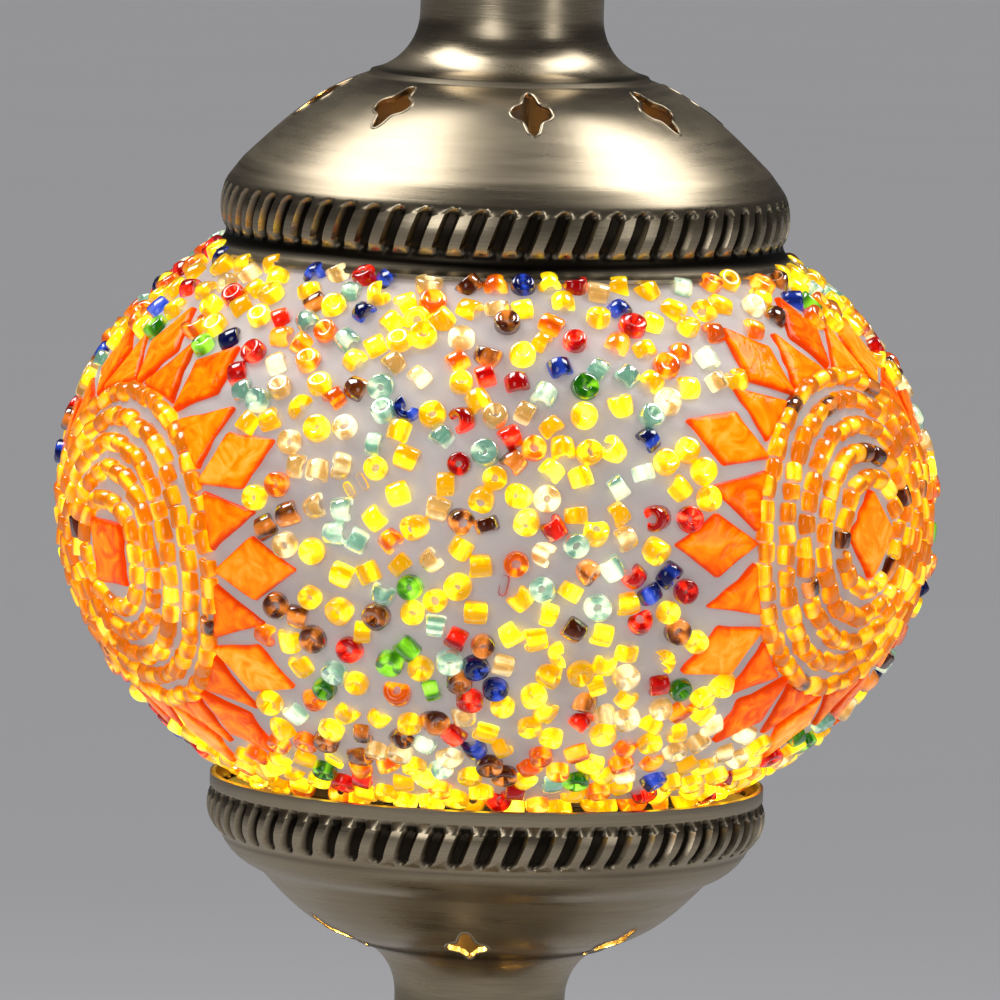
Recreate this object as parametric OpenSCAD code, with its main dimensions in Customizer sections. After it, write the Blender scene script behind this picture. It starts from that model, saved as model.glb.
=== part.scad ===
// Mosaic glass table lamp: a beaded and tiled glass globe between a spun brass cup and a spun
// brass cap, on a turned stem and a bell-shaped foot. Millimetres, +Z up, origin on the floor
// under the lamp's axis. The front is -Y.

/* [Globe] */
// Greatest diameter of the globe over its beads
globe_d = 130; // [108:1:156]
// Height that the globe would have over its beads if both poles were closed
globe_h = 99; // [82:1:119]
// How far beads and tiles stand out from the blown glass
mosaic_depth = 3.2; // [2.6:0.1:4]
// Thickness of the plaster that fills the gaps between beads and tiles
plaster_t = 1.7; // [1.2:0.1:2.2]
// Thickness of the blown glass
glass_t = 2; // [1.5:0.1:3]
// Radius of the two round mouths of the blown glass
mouth_r = 28; // [24:0.5:34]

/* [Medallions] */
// Number of round medallions about the globe
medallions = 3; // [2:1:3]
// Direction of the first medallion's centre, in degrees from the front towards +X
medallion_turn = 58.5; // [50:0.5:70]
// Rise of each medallion's centre above the globe's middle, in degrees
medallion_lift = [0.5, 0, -5.3];
// Side of the square tile at a medallion's centre
centre_tile = 9.2; // [6:0.1:10]
// Pairs of rhombus and triangle tiles about a medallion
tile_pairs = 12; // [8:1:14]
// Length of a rhombus tile, outwards from the medallion's centre
rhomb_len = 14.2; // [10:0.1:17.5]
// Width of a rhombus tile
rhomb_w = 9.3; // [6:0.1:10]
// Length of a triangle tile, outwards from the medallion's centre
triangle_len = 9.2; // [6:0.1:11.5]
// Width of a triangle tile at its inner edge
triangle_w = 9; // [6:0.1:10]
// Thickness of the cut glass of the tiles
tile_t = 2.2; // [1.5:0.1:2.6]
// Gap between the tiles' outer points and the edge of the cap
tile_lip_gap = 4.6; // [3:0.1:8]
// How far a hand-cut corner may wander
cut_wander = 0.45; // [0:0.05:0.6]

/* [Sheet metal] */
// Thickness of the spun brass
sheet_t = 0.8; // [0.6:0.05:1.2]
// Number of flutes about each bell
flutes = 64; // [24:1:76]
// Lean of a flute from the upright, in degrees
flute_lean = 21; // [0:1:25]
// Depth of the groove between two flutes
flute_depth = 0.4; // [0.2:0.05:0.5]
// Radius of the tool that cuts the groove
flute_tool_r = 1.5; // [1:0.1:2]
// Width of a star-shaped opening
star_w = 6.1; // [4:0.1:7.5]
// Length of a star-shaped opening, down the slope of its bell
star_len = 10.4; // [7:0.1:12.5]

/* [Cap] */
// Radius of the cap at its flared lip
cap_lip_r = 43; // [36:0.5:50]
// Radius of the cap's neck
cap_neck_r = 13.4; // [11:0.1:16]
// Height of the cap from its lip to the top of its neck
cap_h = 42; // [35:0.5:50]
// Number of stars about the cap
cap_stars = 8; // [4:1:10]
// Direction of the cap's first star, in degrees from the front towards +X
cap_star_turn = 7; // [0:1:45]

/* [Cup] */
// Radius of the cup at its rim
cup_rim_r = 40.6; // [34:0.5:48]
// Radius of the cup's neck
cup_neck_r = 12.5; // [10:0.1:15]
// Height of the cup from the end of its neck to its rim
cup_h = 39.5; // [33:0.5:47]
// Number of stars about the cup
cup_stars = 6; // [4:1:8]
// Direction of the cup's first star, in degrees from the front towards +X
cup_star_turn = -5; // [-30:1:30]
// Depth of the seat plate below the cup's rim
seat_depth = 2.5; // [2:0.1:4]

/* [Foot and stem] */
// Radius of the foot at its rim
foot_r = 55; // [46:0.5:66]
// Height of the foot bell
foot_h = 77; // [64:0.5:92]
// Number of stars about the foot
foot_stars = 8; // [4:1:10]
// Length of the turned stem between foot and cup
stem_len = 26; // [20:0.5:34]
// Greatest radius of the turned stem
stem_r = 16; // [13:0.5:20]
// Thickness of the felt pad
pad_t = 1.2; // [0.8:0.1:3]
// Thickness of the steel plate that closes the foot
plate_t = 3; // [2:0.1:5]
// Height of the cast weight on the base plate
weight_h = 10; // [6:0.5:14]
// Diameter of the hole of the cord inlet
inlet_d = 6.5; // [5:0.1:8]

/* [Rod and lamp holder] */
// Diameter of the threaded tube that holds the lamp together
rod_d = 10; // [8:0.5:12]
// Bore of the threaded tube
rod_bore = 7; // [5:0.5:8]
// Radius of the lamp holder's body
holder_r = 14; // [12.5:0.1:16]
// Height of the lamp holder's body
holder_h = 36; // [32:0.5:42]
// Height of the clamping ring on the holder
ring_h = 3.5; // [2.5:0.1:5]

/* [Bulb] */
// Diameter of the bulb's screw cap
bulb_cap_d = 13.7; // [13:0.1:14]
// Diameter of the bulb's glass
bulb_d = 40; // [35:1:50]
// Length of the bulb from the holder's edge to its top
bulb_len = 52; // [44:1:58]

/* [Finial] */
// Length of the finial above the cap
finial_h = 52; // [40:1:65]
// Radius of the finial's ball
finial_ball_r = 9; // [7:0.5:11]
// Diameter of the threaded stud that holds cap and finial
stud_d = 6; // [4:0.5:8]

/* [Travel] */
// How far the globe lifts off the cup
globe_lift = 120; // [90:1:140]
// How far the cap lifts off the globe
cap_lift = 40; // [10:1:60]

/* [Hidden] */
$fn = 96;
fit = 0.15;              // play between pieces of one body that slide together
clear = 0.35;            // least gap between pieces that move apart
pocket_gap = 0.1;        // gap round a tile in the plaster
glue_gap = 0.12;         // glue line between glass and plaster
gasket_t = 1.5;          // thickness of the soft rings under and over the glass
nut_h = 5;
nut_af = 17;             // width across a nut's flats
washer_t = 1.5;
curve_steps = 8;         // steps along one curved stretch of an outline
seed = 41;

// Radii and half heights of the ellipsoids, from the beads inwards
bead_r = [globe_d / 2, globe_h / 2];
glass_r = [bead_r.x - mosaic_depth, bead_r.y - mosaic_depth];
plaster_r = [glass_r.x + plaster_t, glass_r.y + plaster_t];
bore_r = [glass_r.x - glass_t, glass_r.y - glass_t];

// Heights above the floor, from the foot upwards
foot_z = pad_t;
plate_z = foot_z + sheet_t;
weight_z = plate_z + plate_t;
stem_z = foot_z + foot_h;
cup_z = stem_z + stem_len;                      // end of the cup's neck
cup_rim_z = cup_z + cup_h;
seat_z = cup_rim_z - seat_depth;                // top of the seat plate
mouth_z = seat_z + gasket_t + clear;            // lower mouth of the glass
globe_z = mouth_z + height_at(glass_r, mouth_r);
cap_seat_z = globe_z + height_at(glass_r, mouth_r);
cap_z = globe_z + height_at(plaster_r, cap_lip_r - sheet_t) + clear;
cap_top_z = cap_z + cap_h;
cap_plate_z = cap_seat_z + clear + gasket_t;
finial_z = cap_top_z;

function height_at(axes, r) = axes.y * sqrt(1 - pow(r / axes.x, 2));
function unit(v) = v / norm(v);
function left_of(v) = [-v.y, v.x];
function reversed(list) = [for (i = [len(list) - 1:-1:0]) list[i]];

// Points of a cubic curve from p to s, without its first point
function curve(p, q, r, s, n = curve_steps) = [
    for (i = [1:n]) let (t = i / n, u = 1 - t)
        u * u * u * p + 3 * u * u * t * q + 3 * u * t * t * r + t * t * t * s
];

// The path moved sideways to its left by t, with mitred corners
function inset(path, t) = [
    for (i = [0:len(path) - 1]) let (
        last = len(path) - 1,
        before = left_of(unit(path[max(i, 1)] - path[max(i, 1) - 1])),
        after = left_of(unit(path[min(i + 1, last)] - path[min(i + 1, last) - 1])),
        middle = unit(before + after)
    ) path[i] + middle * t / (middle * before)
];

// Half an ellipse from the height z0 to the height z1
function ellipse_arc(axes, z0, z1, n = 28) = [
    for (i = [0:n]) let (
        a0 = asin(z0 / axes.y),
        a1 = asin(z1 / axes.y),
        a = a0 + (a1 - a0) * i / n
    ) [axes.x * cos(a), axes.y * sin(a)]
];

// Outlines of the three bells, from the rim to the end of the neck, as radius and height
shoulder_in = 5;                                // from the rim's radius in to the shoulder
lip_land = 0.5;                                 // upright edge of the cap's lip
cap_shoulder = [cap_lip_r - shoulder_in, 14];
cap_dome_end = [cap_neck_r + 7.2, cap_h - 15.6];
cap_outline = concat(
    [[cap_lip_r, 0], [cap_lip_r, lip_land]],
    curve([cap_lip_r, lip_land], [cap_lip_r - 1.4, 1.1], [cap_lip_r - 2.3, 1.9], [cap_lip_r - 2.3, 3.2]),
    curve([cap_lip_r - 2.3, 3.2], [cap_lip_r - 1, 4.6], [cap_lip_r - 1, 9], [cap_lip_r - 2.6, 11]),
    curve([cap_lip_r - 2.6, 11], [cap_lip_r - 3.4, 12], [cap_lip_r - 4.2, 13.3], cap_shoulder, 4),
    curve(cap_shoulder, cap_shoulder + [-4, 3.8], cap_dome_end + [7.9, -2.6], cap_dome_end, 12),
    curve(cap_dome_end, cap_dome_end + [-4, 1.3], [cap_neck_r, cap_h - 11], [cap_neck_r, cap_h - 6.5]),
    [[cap_neck_r, cap_h]]
);
cap_band = [cap_lip_r - 1.4, 7];                // where the flutes' middle lies

cup_shoulder = [cup_rim_r - 7.6, 13.9];
cup_dome_end = [cup_neck_r + 6.3, cup_h - 15.8];
cup_outline = concat(
    [[cup_rim_r, 0], [cup_rim_r, 1.6]],
    curve([cup_rim_r, 1.6], [cup_rim_r + 0.8, 4.2], [cup_rim_r + 0.5, 7], [cup_rim_r - 1.7, 8.7]),
    curve([cup_rim_r - 1.7, 8.7], [cup_rim_r - 3, 11.6], [cup_rim_r - 5.1, 12.9], cup_shoulder, 5),
    curve(cup_shoulder, cup_shoulder + [-3.7, 3.9], cup_dome_end + [6.8, -1.7], cup_dome_end, 12),
    curve(cup_dome_end, cup_dome_end + [-3.4, 0.9], [cup_neck_r, cup_h - 11.7], [cup_neck_r, cup_h - 7.3]),
    [[cup_neck_r, cup_h]]
);
cup_band = [cup_rim_r + 0.35, 5.1];

foot_neck_r = cup_neck_r;
plinth_r = foot_r - 1.4;                        // upright wall under the flutes
inlet_collar_r = inlet_d / 2 + 2.2;
plinth_h = sheet_t + plate_t + 2 * inlet_collar_r + 2;
foot_shoulder = [foot_r - 7.5, plinth_h + 12.5];
foot_dome_end = [foot_neck_r + 9.5, foot_h - 19];
foot_outline = concat(
    [[foot_r - 5, 0], [foot_r - 1, 0]],
    curve([foot_r - 1, 0], [foot_r, 0], [foot_r, 1.6], [plinth_r + 0.2, 2.4], 5),
    [[plinth_r, plinth_h]],
    curve([plinth_r, plinth_h], [foot_r, plinth_h + 1.4], [foot_r - 0.2, plinth_h + 6.4],
          [foot_r - 2.8, plinth_h + 8.4]),
    curve([foot_r - 2.8, plinth_h + 8.4], [foot_r - 4, plinth_h + 10.6],
          [foot_r - 5.4, plinth_h + 11.7], foot_shoulder, 5),
    curve(foot_shoulder, foot_shoulder + [-7, 8], foot_dome_end + [13, -8], foot_dome_end, 12),
    curve(foot_dome_end, foot_dome_end + [-5.5, 3], [foot_neck_r, foot_h - 11], [foot_neck_r, foot_h - 5]),
    [[foot_neck_r, foot_h]]
);
foot_band = [foot_r - 0.65, plinth_h + 4.2];
inlet_z = weight_z + inlet_collar_r + 0.8;

// Lamp holder, from the floor of the cup upwards
cup_floor_z = cup_z + sheet_t;
cup_nut_z = cup_floor_z + washer_t;
seat_t = 1.2;
holder_flange_t = 2.5;
holder_z = cup_rim_z - cup_dome_end.y - 1;     // where the cup is wide enough for the holder
holder_top_z = holder_z + holder_h;
rod_top_z = holder_z + 7;
rod_bottom_z = weight_z + 1.5;

// Places of the stars on their bells: radius, height above the rim, tilt of the bell's slope
cap_star = [cap_lip_r - 15.9, 23, 33];
cup_star = [cup_rim_r - 17.6, cup_h - 17.5, 28];
foot_star = [foot_r - 17.5, foot_h - 34.4, 54];

// The direction on the globe at arc along and turn about a medallion's centre
function medallion_az(m) = medallion_turn + m * 360 / medallions;
function outward(m) = [sin(medallion_az(m)), -cos(medallion_az(m)), 0];
function centre_dir(m) = cos(medallion_lift[m]) * outward(m) + [0, 0, sin(medallion_lift[m])];
function up_dir(m) = [0, 0, cos(medallion_lift[m])] - sin(medallion_lift[m]) * outward(m);
function side_dir(m) = [cos(medallion_az(m)), sin(medallion_az(m)), 0];
function arc_dir(m, arc, turn) = let (angle = arc / bead_r.x * 180 / PI)
    cos(angle) * centre_dir(m)
    + sin(angle) * (cos(turn) * side_dir(m) + sin(turn) * up_dir(m));
// Point of the glass in a direction, and the outward normal there
function on_glass(d) = d / sqrt(
    (d.x * d.x + d.y * d.y) / pow(glass_r.x, 2) + d.z * d.z / pow(glass_r.y, 2));
function glass_normal(p) = unit([
    p.x / pow(glass_r.x, 2), p.y / pow(glass_r.x, 2), p.z / pow(glass_r.y, 2)]);

// Arc from a medallion's centre to the outer points of its tiles, clear of the cap
lip_angle = atan2(height_at(plaster_r, cap_lip_r), cap_lip_r);
tile_reach = bead_r.x * (lip_angle - max(medallion_lift)) * PI / 180 - tile_lip_gap;
rhomb_arc = tile_reach - rhomb_len / 2;
triangle_arc = tile_reach - rhomb_len + triangle_len / 2;

brass = "#9a8a5c";
dark_brass = "#6b5f45";
steel = "#a9adb0";
amber = "#e38a1e";

// ---- shapes shared by several pieces ----

module at_azimuth(a) {
    rotate([0, 0, a - 90]) children();
}

module ring(r_out, r_in, h) {
    difference() {
        cylinder(r = r_out, h = h);
        translate([0, 0, -1]) cylinder(r = r_in, h = h + 2);
    }
}

module hex_nut(bore) {
    difference() {
        cylinder(d = nut_af / cos(30), h = nut_h, $fn = 6);
        translate([0, 0, -1]) cylinder(d = bore, h = nut_h + 2);
    }
}

// A four-pointed star with rounded tips, w wide and len long
module star_outline(w, len) {
    steps = 40;
    polygon([
        for (i = [0:steps - 1]) let (a = 360 * i / steps, s = 0.81 + 0.19 * cos(4 * a))
            [len / 2 * s * cos(a), w / 2 * s * sin(a)]
    ]);
}

// Star-shaped cutters about the axis; place holds radius, height and slope
module star_cutters(place, count, turn, w, len) {
    depth = 8;
    for (i = [0:count - 1])
        at_azimuth(turn + i * 360 / count)
            translate([place.x, 0, place.y])
                rotate([0, place.z, 0])
                    translate([0, 0, -depth / 2]) linear_extrude(depth) star_outline(w, len);
}

// Slanted grooves between the flutes; band holds radius and height of their middle
module flute_cutters(band, h, lean) {
    for (i = [0:flutes - 1])
        rotate([0, 0, i * 360 / flutes])
            translate([band.x + flute_tool_r - flute_depth, 0, band.y])
                rotate([-lean, 0, 0])
                    cylinder(r = flute_tool_r, h = h, center = true, $fn = 24);
}

// A spun bell: a sheet along an outline, turned in to a hole at the end of its neck
module spun_bell(outline, hole_r) {
    skin = concat(outline, [[hole_r, outline[len(outline) - 1].y]]);
    rotate_extrude() polygon(concat(skin, reversed(inset(skin, sheet_t))));
}

// Part of an ellipsoidal shell between two heights
module ellipsoid_shell(outer, inner, z0, z1) {
    rotate_extrude() polygon(concat(
        ellipse_arc(outer, z0, z1), reversed(ellipse_arc(inner, z0, z1))));
}

// ---- base ----

module foot_pad() {
    color("#2f2f2f") ring(foot_r - 1.5, foot_r - 12, pad_t);
}

screw_head_r = 4;
screw_len = 9;
screw_ring_r = 26;

module countersunk_screw() {
    cylinder(r1 = screw_head_r, r2 = 2, h = 2.2);
    cylinder(r = 2, h = screw_len);
}

module screw_places() {
    for (i = [0:2])
        rotate([0, 0, i * 120]) translate([screw_ring_r, 0, plate_z]) children();
}

module base_plate() {
    plate_r = plinth_r - sheet_t - fit - 1;
    color(steel) difference() {
        translate([0, 0, plate_z]) cylinder(r = plate_r, h = plate_t);
        screw_places() {
            translate([0, 0, -0.01]) cylinder(r1 = screw_head_r + fit, r2 = 2 + fit, h = 2.2);
            cylinder(r = 2 + fit, h = screw_len);
        }
    }
}

module base_screws() {
    color("#c8ccce") screw_places() countersunk_screw();
}

module base_weight() {
    color("#4a4a4c") difference() {
        translate([0, 0, weight_z]) cylinder(r = foot_r - 14, h = weight_h);
        translate([0, 0, weight_z - 1]) cylinder(d = rod_d + 2 * fit, h = weight_h + 2);
        screw_places() cylinder(r = 2 + fit, h = screw_len + 0.5);
    }
}

module weight_nut() {
    color(steel) translate([0, 0, weight_z + weight_h]) hex_nut(rod_d + 2 * fit);
}

module foot_bell() {
    color(brass) difference() {
        translate([0, 0, foot_z]) spun_bell(foot_outline, rod_d / 2 + fit);
        translate([0, 0, foot_z]) flute_cutters(foot_band, 6.6, flute_lean);
        translate([0, 0, foot_z])
            star_cutters(foot_star, foot_stars, 0, star_w * 1.2, star_len * 1.2);
        translate([0, plinth_r - 5, inlet_z]) rotate([-90, 0, 0])
            cylinder(d = inlet_d + 2.4 + 2 * fit, h = 10);
    }
}

// Rubber grommet in the back of the foot
module cord_inlet() {
    neck_r = inlet_d / 2 + 1.2;
    color("#1d1d1d") translate([0, plinth_r, inlet_z]) rotate([-90, 0, 0]) difference() {
        union() {
            translate([0, 0, -sheet_t - 2]) cylinder(r = inlet_collar_r, h = 1.5);
            translate([0, 0, -sheet_t - 1]) cylinder(r = neck_r, h = sheet_t + 2);
            translate([0, 0, 0.6]) cylinder(r1 = inlet_collar_r, r2 = inlet_collar_r - 0.8, h = 1.2);
        }
        translate([0, 0, -6]) cylinder(d = inlet_d, h = 12);
    }
}

module threaded_rod() {
    color(steel) translate([0, 0, rod_bottom_z]) difference() {
        cylinder(d = rod_d, h = rod_top_z - rod_bottom_z);
        translate([0, 0, -1]) cylinder(d = rod_bore, h = rod_top_z - rod_bottom_z + 2);
    }
}

// ---- stem ----

collar_h = 4;
collar_r = cup_neck_r + 1.8;

// A turned collar with a rounded edge
module turned_collar(r) {
    rotate_extrude() difference() {
        union() {
            translate([rod_d / 2 + fit, 0]) square([r - collar_h / 2 - rod_d / 2 - fit, collar_h]);
            translate([r - collar_h / 2, collar_h / 2]) circle(d = collar_h, $fn = 48);
        }
        translate([rod_d / 2 + fit - 5, -1]) square([5, collar_h + 2]);
    }
}

module stem_lower_collar() {
    color(dark_brass) translate([0, 0, stem_z]) turned_collar(collar_r);
}

module stem_upper_collar() {
    color(dark_brass) translate([0, 0, cup_z - collar_h]) turned_collar(collar_r);
}

module stem_baluster() {
    h = stem_len - 2 * collar_h;
    neck = cup_neck_r - 3.5;
    color(brass) translate([0, 0, stem_z + collar_h]) rotate_extrude() polygon(concat(
        [[rod_d / 2 + fit, 0], [neck, 0]],
        curve([neck, 0], [neck + 0.6, 1.4], [stem_r, h / 2 - 7], [stem_r, h / 2], 10),
        curve([stem_r, h / 2], [stem_r, h / 2 + 7], [neck + 0.6, h - 1.4], [neck, h], 10),
        [[rod_d / 2 + fit, h]]
    ));
}

// ---- cup ----

module cup_bell() {
    color(brass) difference() {
        translate([0, 0, cup_rim_z]) mirror([0, 0, 1]) spun_bell(cup_outline, rod_d / 2 + fit);
        translate([0, 0, cup_rim_z]) mirror([0, 0, 1]) flute_cutters(cup_band, 6, -flute_lean);
        translate([0, 0, cup_rim_z]) mirror([0, 0, 1])
            star_cutters(cup_star, cup_stars, cup_star_turn, star_w, star_len);
    }
}

module cup_washer() {
    color(steel) translate([0, 0, cup_floor_z])
        ring(cup_neck_r - sheet_t - fit, rod_d / 2 + fit, washer_t);
}

module cup_nut() {
    color(steel) translate([0, 0, cup_nut_z]) hex_nut(rod_d + 2 * fit);
}

// ---- lamp holder and seat ----

holder_bore_r = holder_r - 2;
thread_r = bulb_cap_d / 2 + clear;              // bore of the screw shell
thread_t = 0.6;
insulator_z = holder_z + 11;
insulator_t = 4;
contact_z = insulator_z + insulator_t;
seat_bottom_z = seat_z - seat_t;

module holder_base() {
    color("#24211f") difference() {
        translate([0, 0, holder_z]) cylinder(r = holder_r, h = insulator_z - holder_z);
        translate([0, 0, holder_z + 4]) cylinder(r = holder_bore_r, h = insulator_z);
        translate([0, 0, holder_z - 1]) cylinder(d = rod_d + 2 * fit, h = 10);
    }
}

// Outer tube, with a flange that the seat plate rests on
module holder_shell() {
    color("#2b2724") difference() {
        union() {
            translate([0, 0, insulator_z]) cylinder(r = holder_r, h = holder_top_z - insulator_z);
            translate([0, 0, seat_bottom_z - holder_flange_t])
                cylinder(r = holder_r + 3, h = holder_flange_t);
        }
        translate([0, 0, insulator_z - 1]) cylinder(r = holder_bore_r, h = holder_h);
    }
}

module holder_insulator() {
    color("#e9e4d8") difference() {
        translate([0, 0, insulator_z]) cylinder(r = holder_bore_r - fit, h = insulator_t);
        for (s = [-1, 1]) translate([s * 8, 0, insulator_z - 1]) cylinder(r = 1.6, h = insulator_t + 2);
    }
}

module holder_thread() {
    color("#c9a24a") difference() {
        translate([0, 0, contact_z]) cylinder(r = thread_r + thread_t, h = 18);
        translate([0, 0, contact_z + 0.6]) cylinder(r = thread_r, h = 20);
        translate([0, 0, contact_z - 1]) cylinder(r = 4, h = 4);
    }
}

module centre_contact() {
    color("#c9a24a") translate([0, 0, contact_z]) cylinder(r = 2.5, h = 1.4);
}

module side_contact() {
    color("#c9a24a") translate([thread_r + thread_t, -2, contact_z]) cube([2.2, 4, 5]);
}

module terminal_screws() {
    color("#d8d2b8") for (s = [-1, 1]) translate([s * 8, 0, insulator_z - 4.5]) {
        cylinder(r = 2.4, h = 3.5);
        cylinder(r = 1.4, h = 3.5 + insulator_t);
    }
}

module clamp_ring() {
    color("#2b2724") difference() {
        translate([0, 0, seat_z]) cylinder(r = holder_r + 5, h = ring_h, $fn = 12);
        translate([0, 0, seat_z - 1]) cylinder(r = holder_r + fit, h = ring_h + 2);
    }
}

// A pressed plate with round vents, centred by the holder, that carries the glass
vent_r = 2.5;
vent_edge = 2;                                  // metal left between a vent and the edge
seat_r = cup_rim_r - sheet_t - 2 * fit - 0.4;
locating_r = mouth_r - glass_t - 2 * clear;

module seat_plate() {
    color(steel) difference() {
        union() {
            translate([0, 0, seat_bottom_z]) cylinder(r = seat_r, h = seat_t);
            translate([0, 0, seat_z]) ring(locating_r, locating_r - 1, 4);
        }
        translate([0, 0, seat_bottom_z - 1]) cylinder(r = holder_r + fit, h = seat_t + 2);
        for (i = [0:7]) rotate([0, 0, 22.5 + i * 45])
            translate([seat_r - vent_r - vent_edge, 0, seat_bottom_z - 1])
                cylinder(r = vent_r, h = seat_t + 2);
    }
}

module seat_gasket() {
    color("#3a3a3a") translate([0, 0, seat_z]) ring(mouth_r + 3.5, mouth_r - glass_t, gasket_t);
}

// ---- bulb ----

bulb_z = contact_z + 1.4 + clear;               // underside of the solder tip
bulb_neck_z = holder_top_z + 1.5;
bulb_top_z = holder_top_z + bulb_len;
bulb_ball_z = bulb_top_z - bulb_d / 2;
bulb_wall = 0.8;

module bulb_tip() {
    color("#c0c0bc") translate([0, 0, bulb_z]) cylinder(r1 = 2.2, r2 = 3, h = 1.2);
}

module bulb_insulator() {
    color("#15151a") translate([0, 0, bulb_z + 1.2]) cylinder(r1 = 3.4, r2 = 5.4, h = 2.3);
}

module bulb_cap() {
    cap_z0 = bulb_z + 3.5;
    color("#cfcabb") difference() {
        translate([0, 0, cap_z0]) cylinder(d = bulb_cap_d, h = bulb_neck_z - cap_z0);
        translate([0, 0, cap_z0 + 0.6]) cylinder(d = bulb_cap_d - 1, h = 60);
    }
}

// Blown bulb: a ball that runs down into a narrow neck
module bulb_glass() {
    neck = bulb_cap_d / 2;
    low = bulb_neck_z;
    join_a = 48;                                // where the neck's curve meets the ball
    joint = [bulb_d / 2 * sin(90 - join_a + 16), bulb_ball_z - bulb_d / 2 * cos(90 - join_a + 16)];
    skin = concat(
        [[neck, low]],
        curve([neck, low], [neck + 0.5, low + 5], joint - [4.2, 4.6], joint),
        [for (a = [-22:8:82]) [bulb_d / 2 * cos(a), bulb_ball_z + bulb_d / 2 * sin(a)]],
        [[0.01, bulb_top_z]]
    );
    bore = [for (p = inset(skin, bulb_wall)) [max(p.x, 0.01), p.y]];
    color("#fff3d0", 0.5) rotate_extrude() polygon(concat(skin, reversed(bore)));
}

module bulb_stem() {
    color("#e8f0ee") translate([0, 0, bulb_neck_z]) {
        cylinder(r = 3.6, h = 6);
        cylinder(r = 1.8, h = 16);
    }
}

filament_h = 22;

module bulb_filaments() {
    color("#ffd76a") for (i = [0:3]) rotate([0, 0, 45 + i * 90])
        translate([5, 0, bulb_neck_z + 13]) cylinder(r = 0.8, h = filament_h, $fn = 12);
}

// ---- globe ----

// Blown glass with both mouths ground flat
module glass_globe() {
    edge = height_at(glass_r, mouth_r);
    lip_r = mouth_r - glass_t;
    bore_edge = height_at(bore_r, lip_r);
    color("#d8e2e0", 0.4) translate([0, 0, globe_z])
        rotate_extrude() polygon(concat(
            ellipse_arc(glass_r, -edge, edge),
            [[lip_r, edge]],
            reversed(ellipse_arc(bore_r, -bore_edge, bore_edge)),
            [[lip_r, -edge]]));
}

plaster_low = -height_at(plaster_r, cup_rim_r - sheet_t - 2.6 - clear);
plaster_high = height_at(plaster_r, cap_lip_r - 2 * sheet_t);
bed_r = [glass_r.x + glue_gap, glass_r.y + glue_gap];

module plaster_coat() {
    color("#cfc8bf") difference() {
        translate([0, 0, globe_z]) ellipsoid_shell(plaster_r, bed_r, plaster_low, plaster_high);
        for (m = [0:medallions - 1]) {
            centre_tile_prism(m, pocket_gap);
            rhomb_prisms(m, pocket_gap);
            triangle_prisms(m, pocket_gap);
        }
    }
}

// Puts a flat shape on the glass, its x pointing away from the medallion's centre
module on_globe(m, arc, turn) {
    p = on_glass(arc_dir(m, arc, turn));
    n = glass_normal(p);
    far = on_glass(arc_dir(m, arc + 1, turn)) - p;
    x = unit(far - (far * n) * n);
    y = cross(n, x);
    translate([p.x, p.y, p.z + globe_z]) multmatrix([
        [x.x, y.x, n.x, 0],
        [x.y, y.y, n.y, 0],
        [x.z, y.z, n.z, 0],
        [0, 0, 0, 1]
    ]) children();
}

function wander(i, m, kind) = rands(-cut_wander, cut_wander, 8, seed + i + 50 * m + 500 * kind);

// A flat tile whose corners lie at the given points, moved by w and grown by gap
module cut_tile(points, w, gap) {
    translate([0, 0, gap > 0 ? -2 : 0.05])
        linear_extrude(gap > 0 ? tile_t + 4 : tile_t) polygon([
            for (i = [0:len(points) - 1]) let (p = points[i] + [w[2 * i], w[2 * i + 1]])
                p + unit(p) * gap * 2
        ]);
}

module centre_tile_prism(m, gap = 0) {
    s = centre_tile / 2;
    on_globe(m, 0.01, m == 0 ? 45 : 0)
        cut_tile([[-s, -s], [s, -s], [s, s], [-s, s]], wander(0, m, 0) * 0.6, gap);
}

module rhomb_prisms(m, gap = 0) {
    for (i = [0:tile_pairs - 1])
        on_globe(m, rhomb_arc, i * 360 / tile_pairs)
            cut_tile(
                [[-rhomb_len / 2, 0], [0, -rhomb_w / 2], [rhomb_len / 2, 0], [0, rhomb_w / 2]],
                wander(i, m, 1), gap);
}

module triangle_prisms(m, gap = 0) {
    for (i = [0:tile_pairs - 1])
        on_globe(m, triangle_arc, (i + 0.5) * 360 / tile_pairs)
            cut_tile(
                [[-triangle_len / 2, -triangle_w / 2], [triangle_len / 2, 0],
                 [-triangle_len / 2, triangle_w / 2]],
                wander(i, m, 2), gap);
}

// ---- cap and finial ----

plate_rise = 1.2;

module cap_gasket() {
    color("#3a3a3a") translate([0, 0, cap_seat_z + clear])
        ring(mouth_r + 3.5, mouth_r - glass_t, gasket_t);
}

module cap_plate() {
    color(steel) difference() {
        union() {
            translate([0, 0, cap_plate_z]) cylinder(r = mouth_r + 4, h = plate_rise);
            translate([0, 0, cap_plate_z - 5]) ring(locating_r, locating_r - 1, 5);
        }
        translate([0, 0, cap_plate_z - 1]) cylinder(d = stud_d + 2 * fit, h = plate_rise + 2);
        for (i = [0:5]) rotate([0, 0, i * 60])
            translate([mouth_r * 0.56, 0, cap_plate_z - 1]) cylinder(r = 5, h = plate_rise + 2);
    }
}

stud_nut_h = 4;

module cap_stud() {
    color(steel) translate([0, 0, cap_plate_z - stud_nut_h - 1])
        cylinder(d = stud_d, h = finial_z + 10 - cap_plate_z + stud_nut_h + 1);
}

module cap_nut() {
    color(steel) for (z = [cap_plate_z - stud_nut_h, cap_plate_z + plate_rise])
        translate([0, 0, z]) difference() {
            cylinder(d = stud_d * 2, h = stud_nut_h, $fn = 6);
            translate([0, 0, -1]) cylinder(d = stud_d + 2 * fit, h = stud_nut_h + 2);
        }
}

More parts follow.
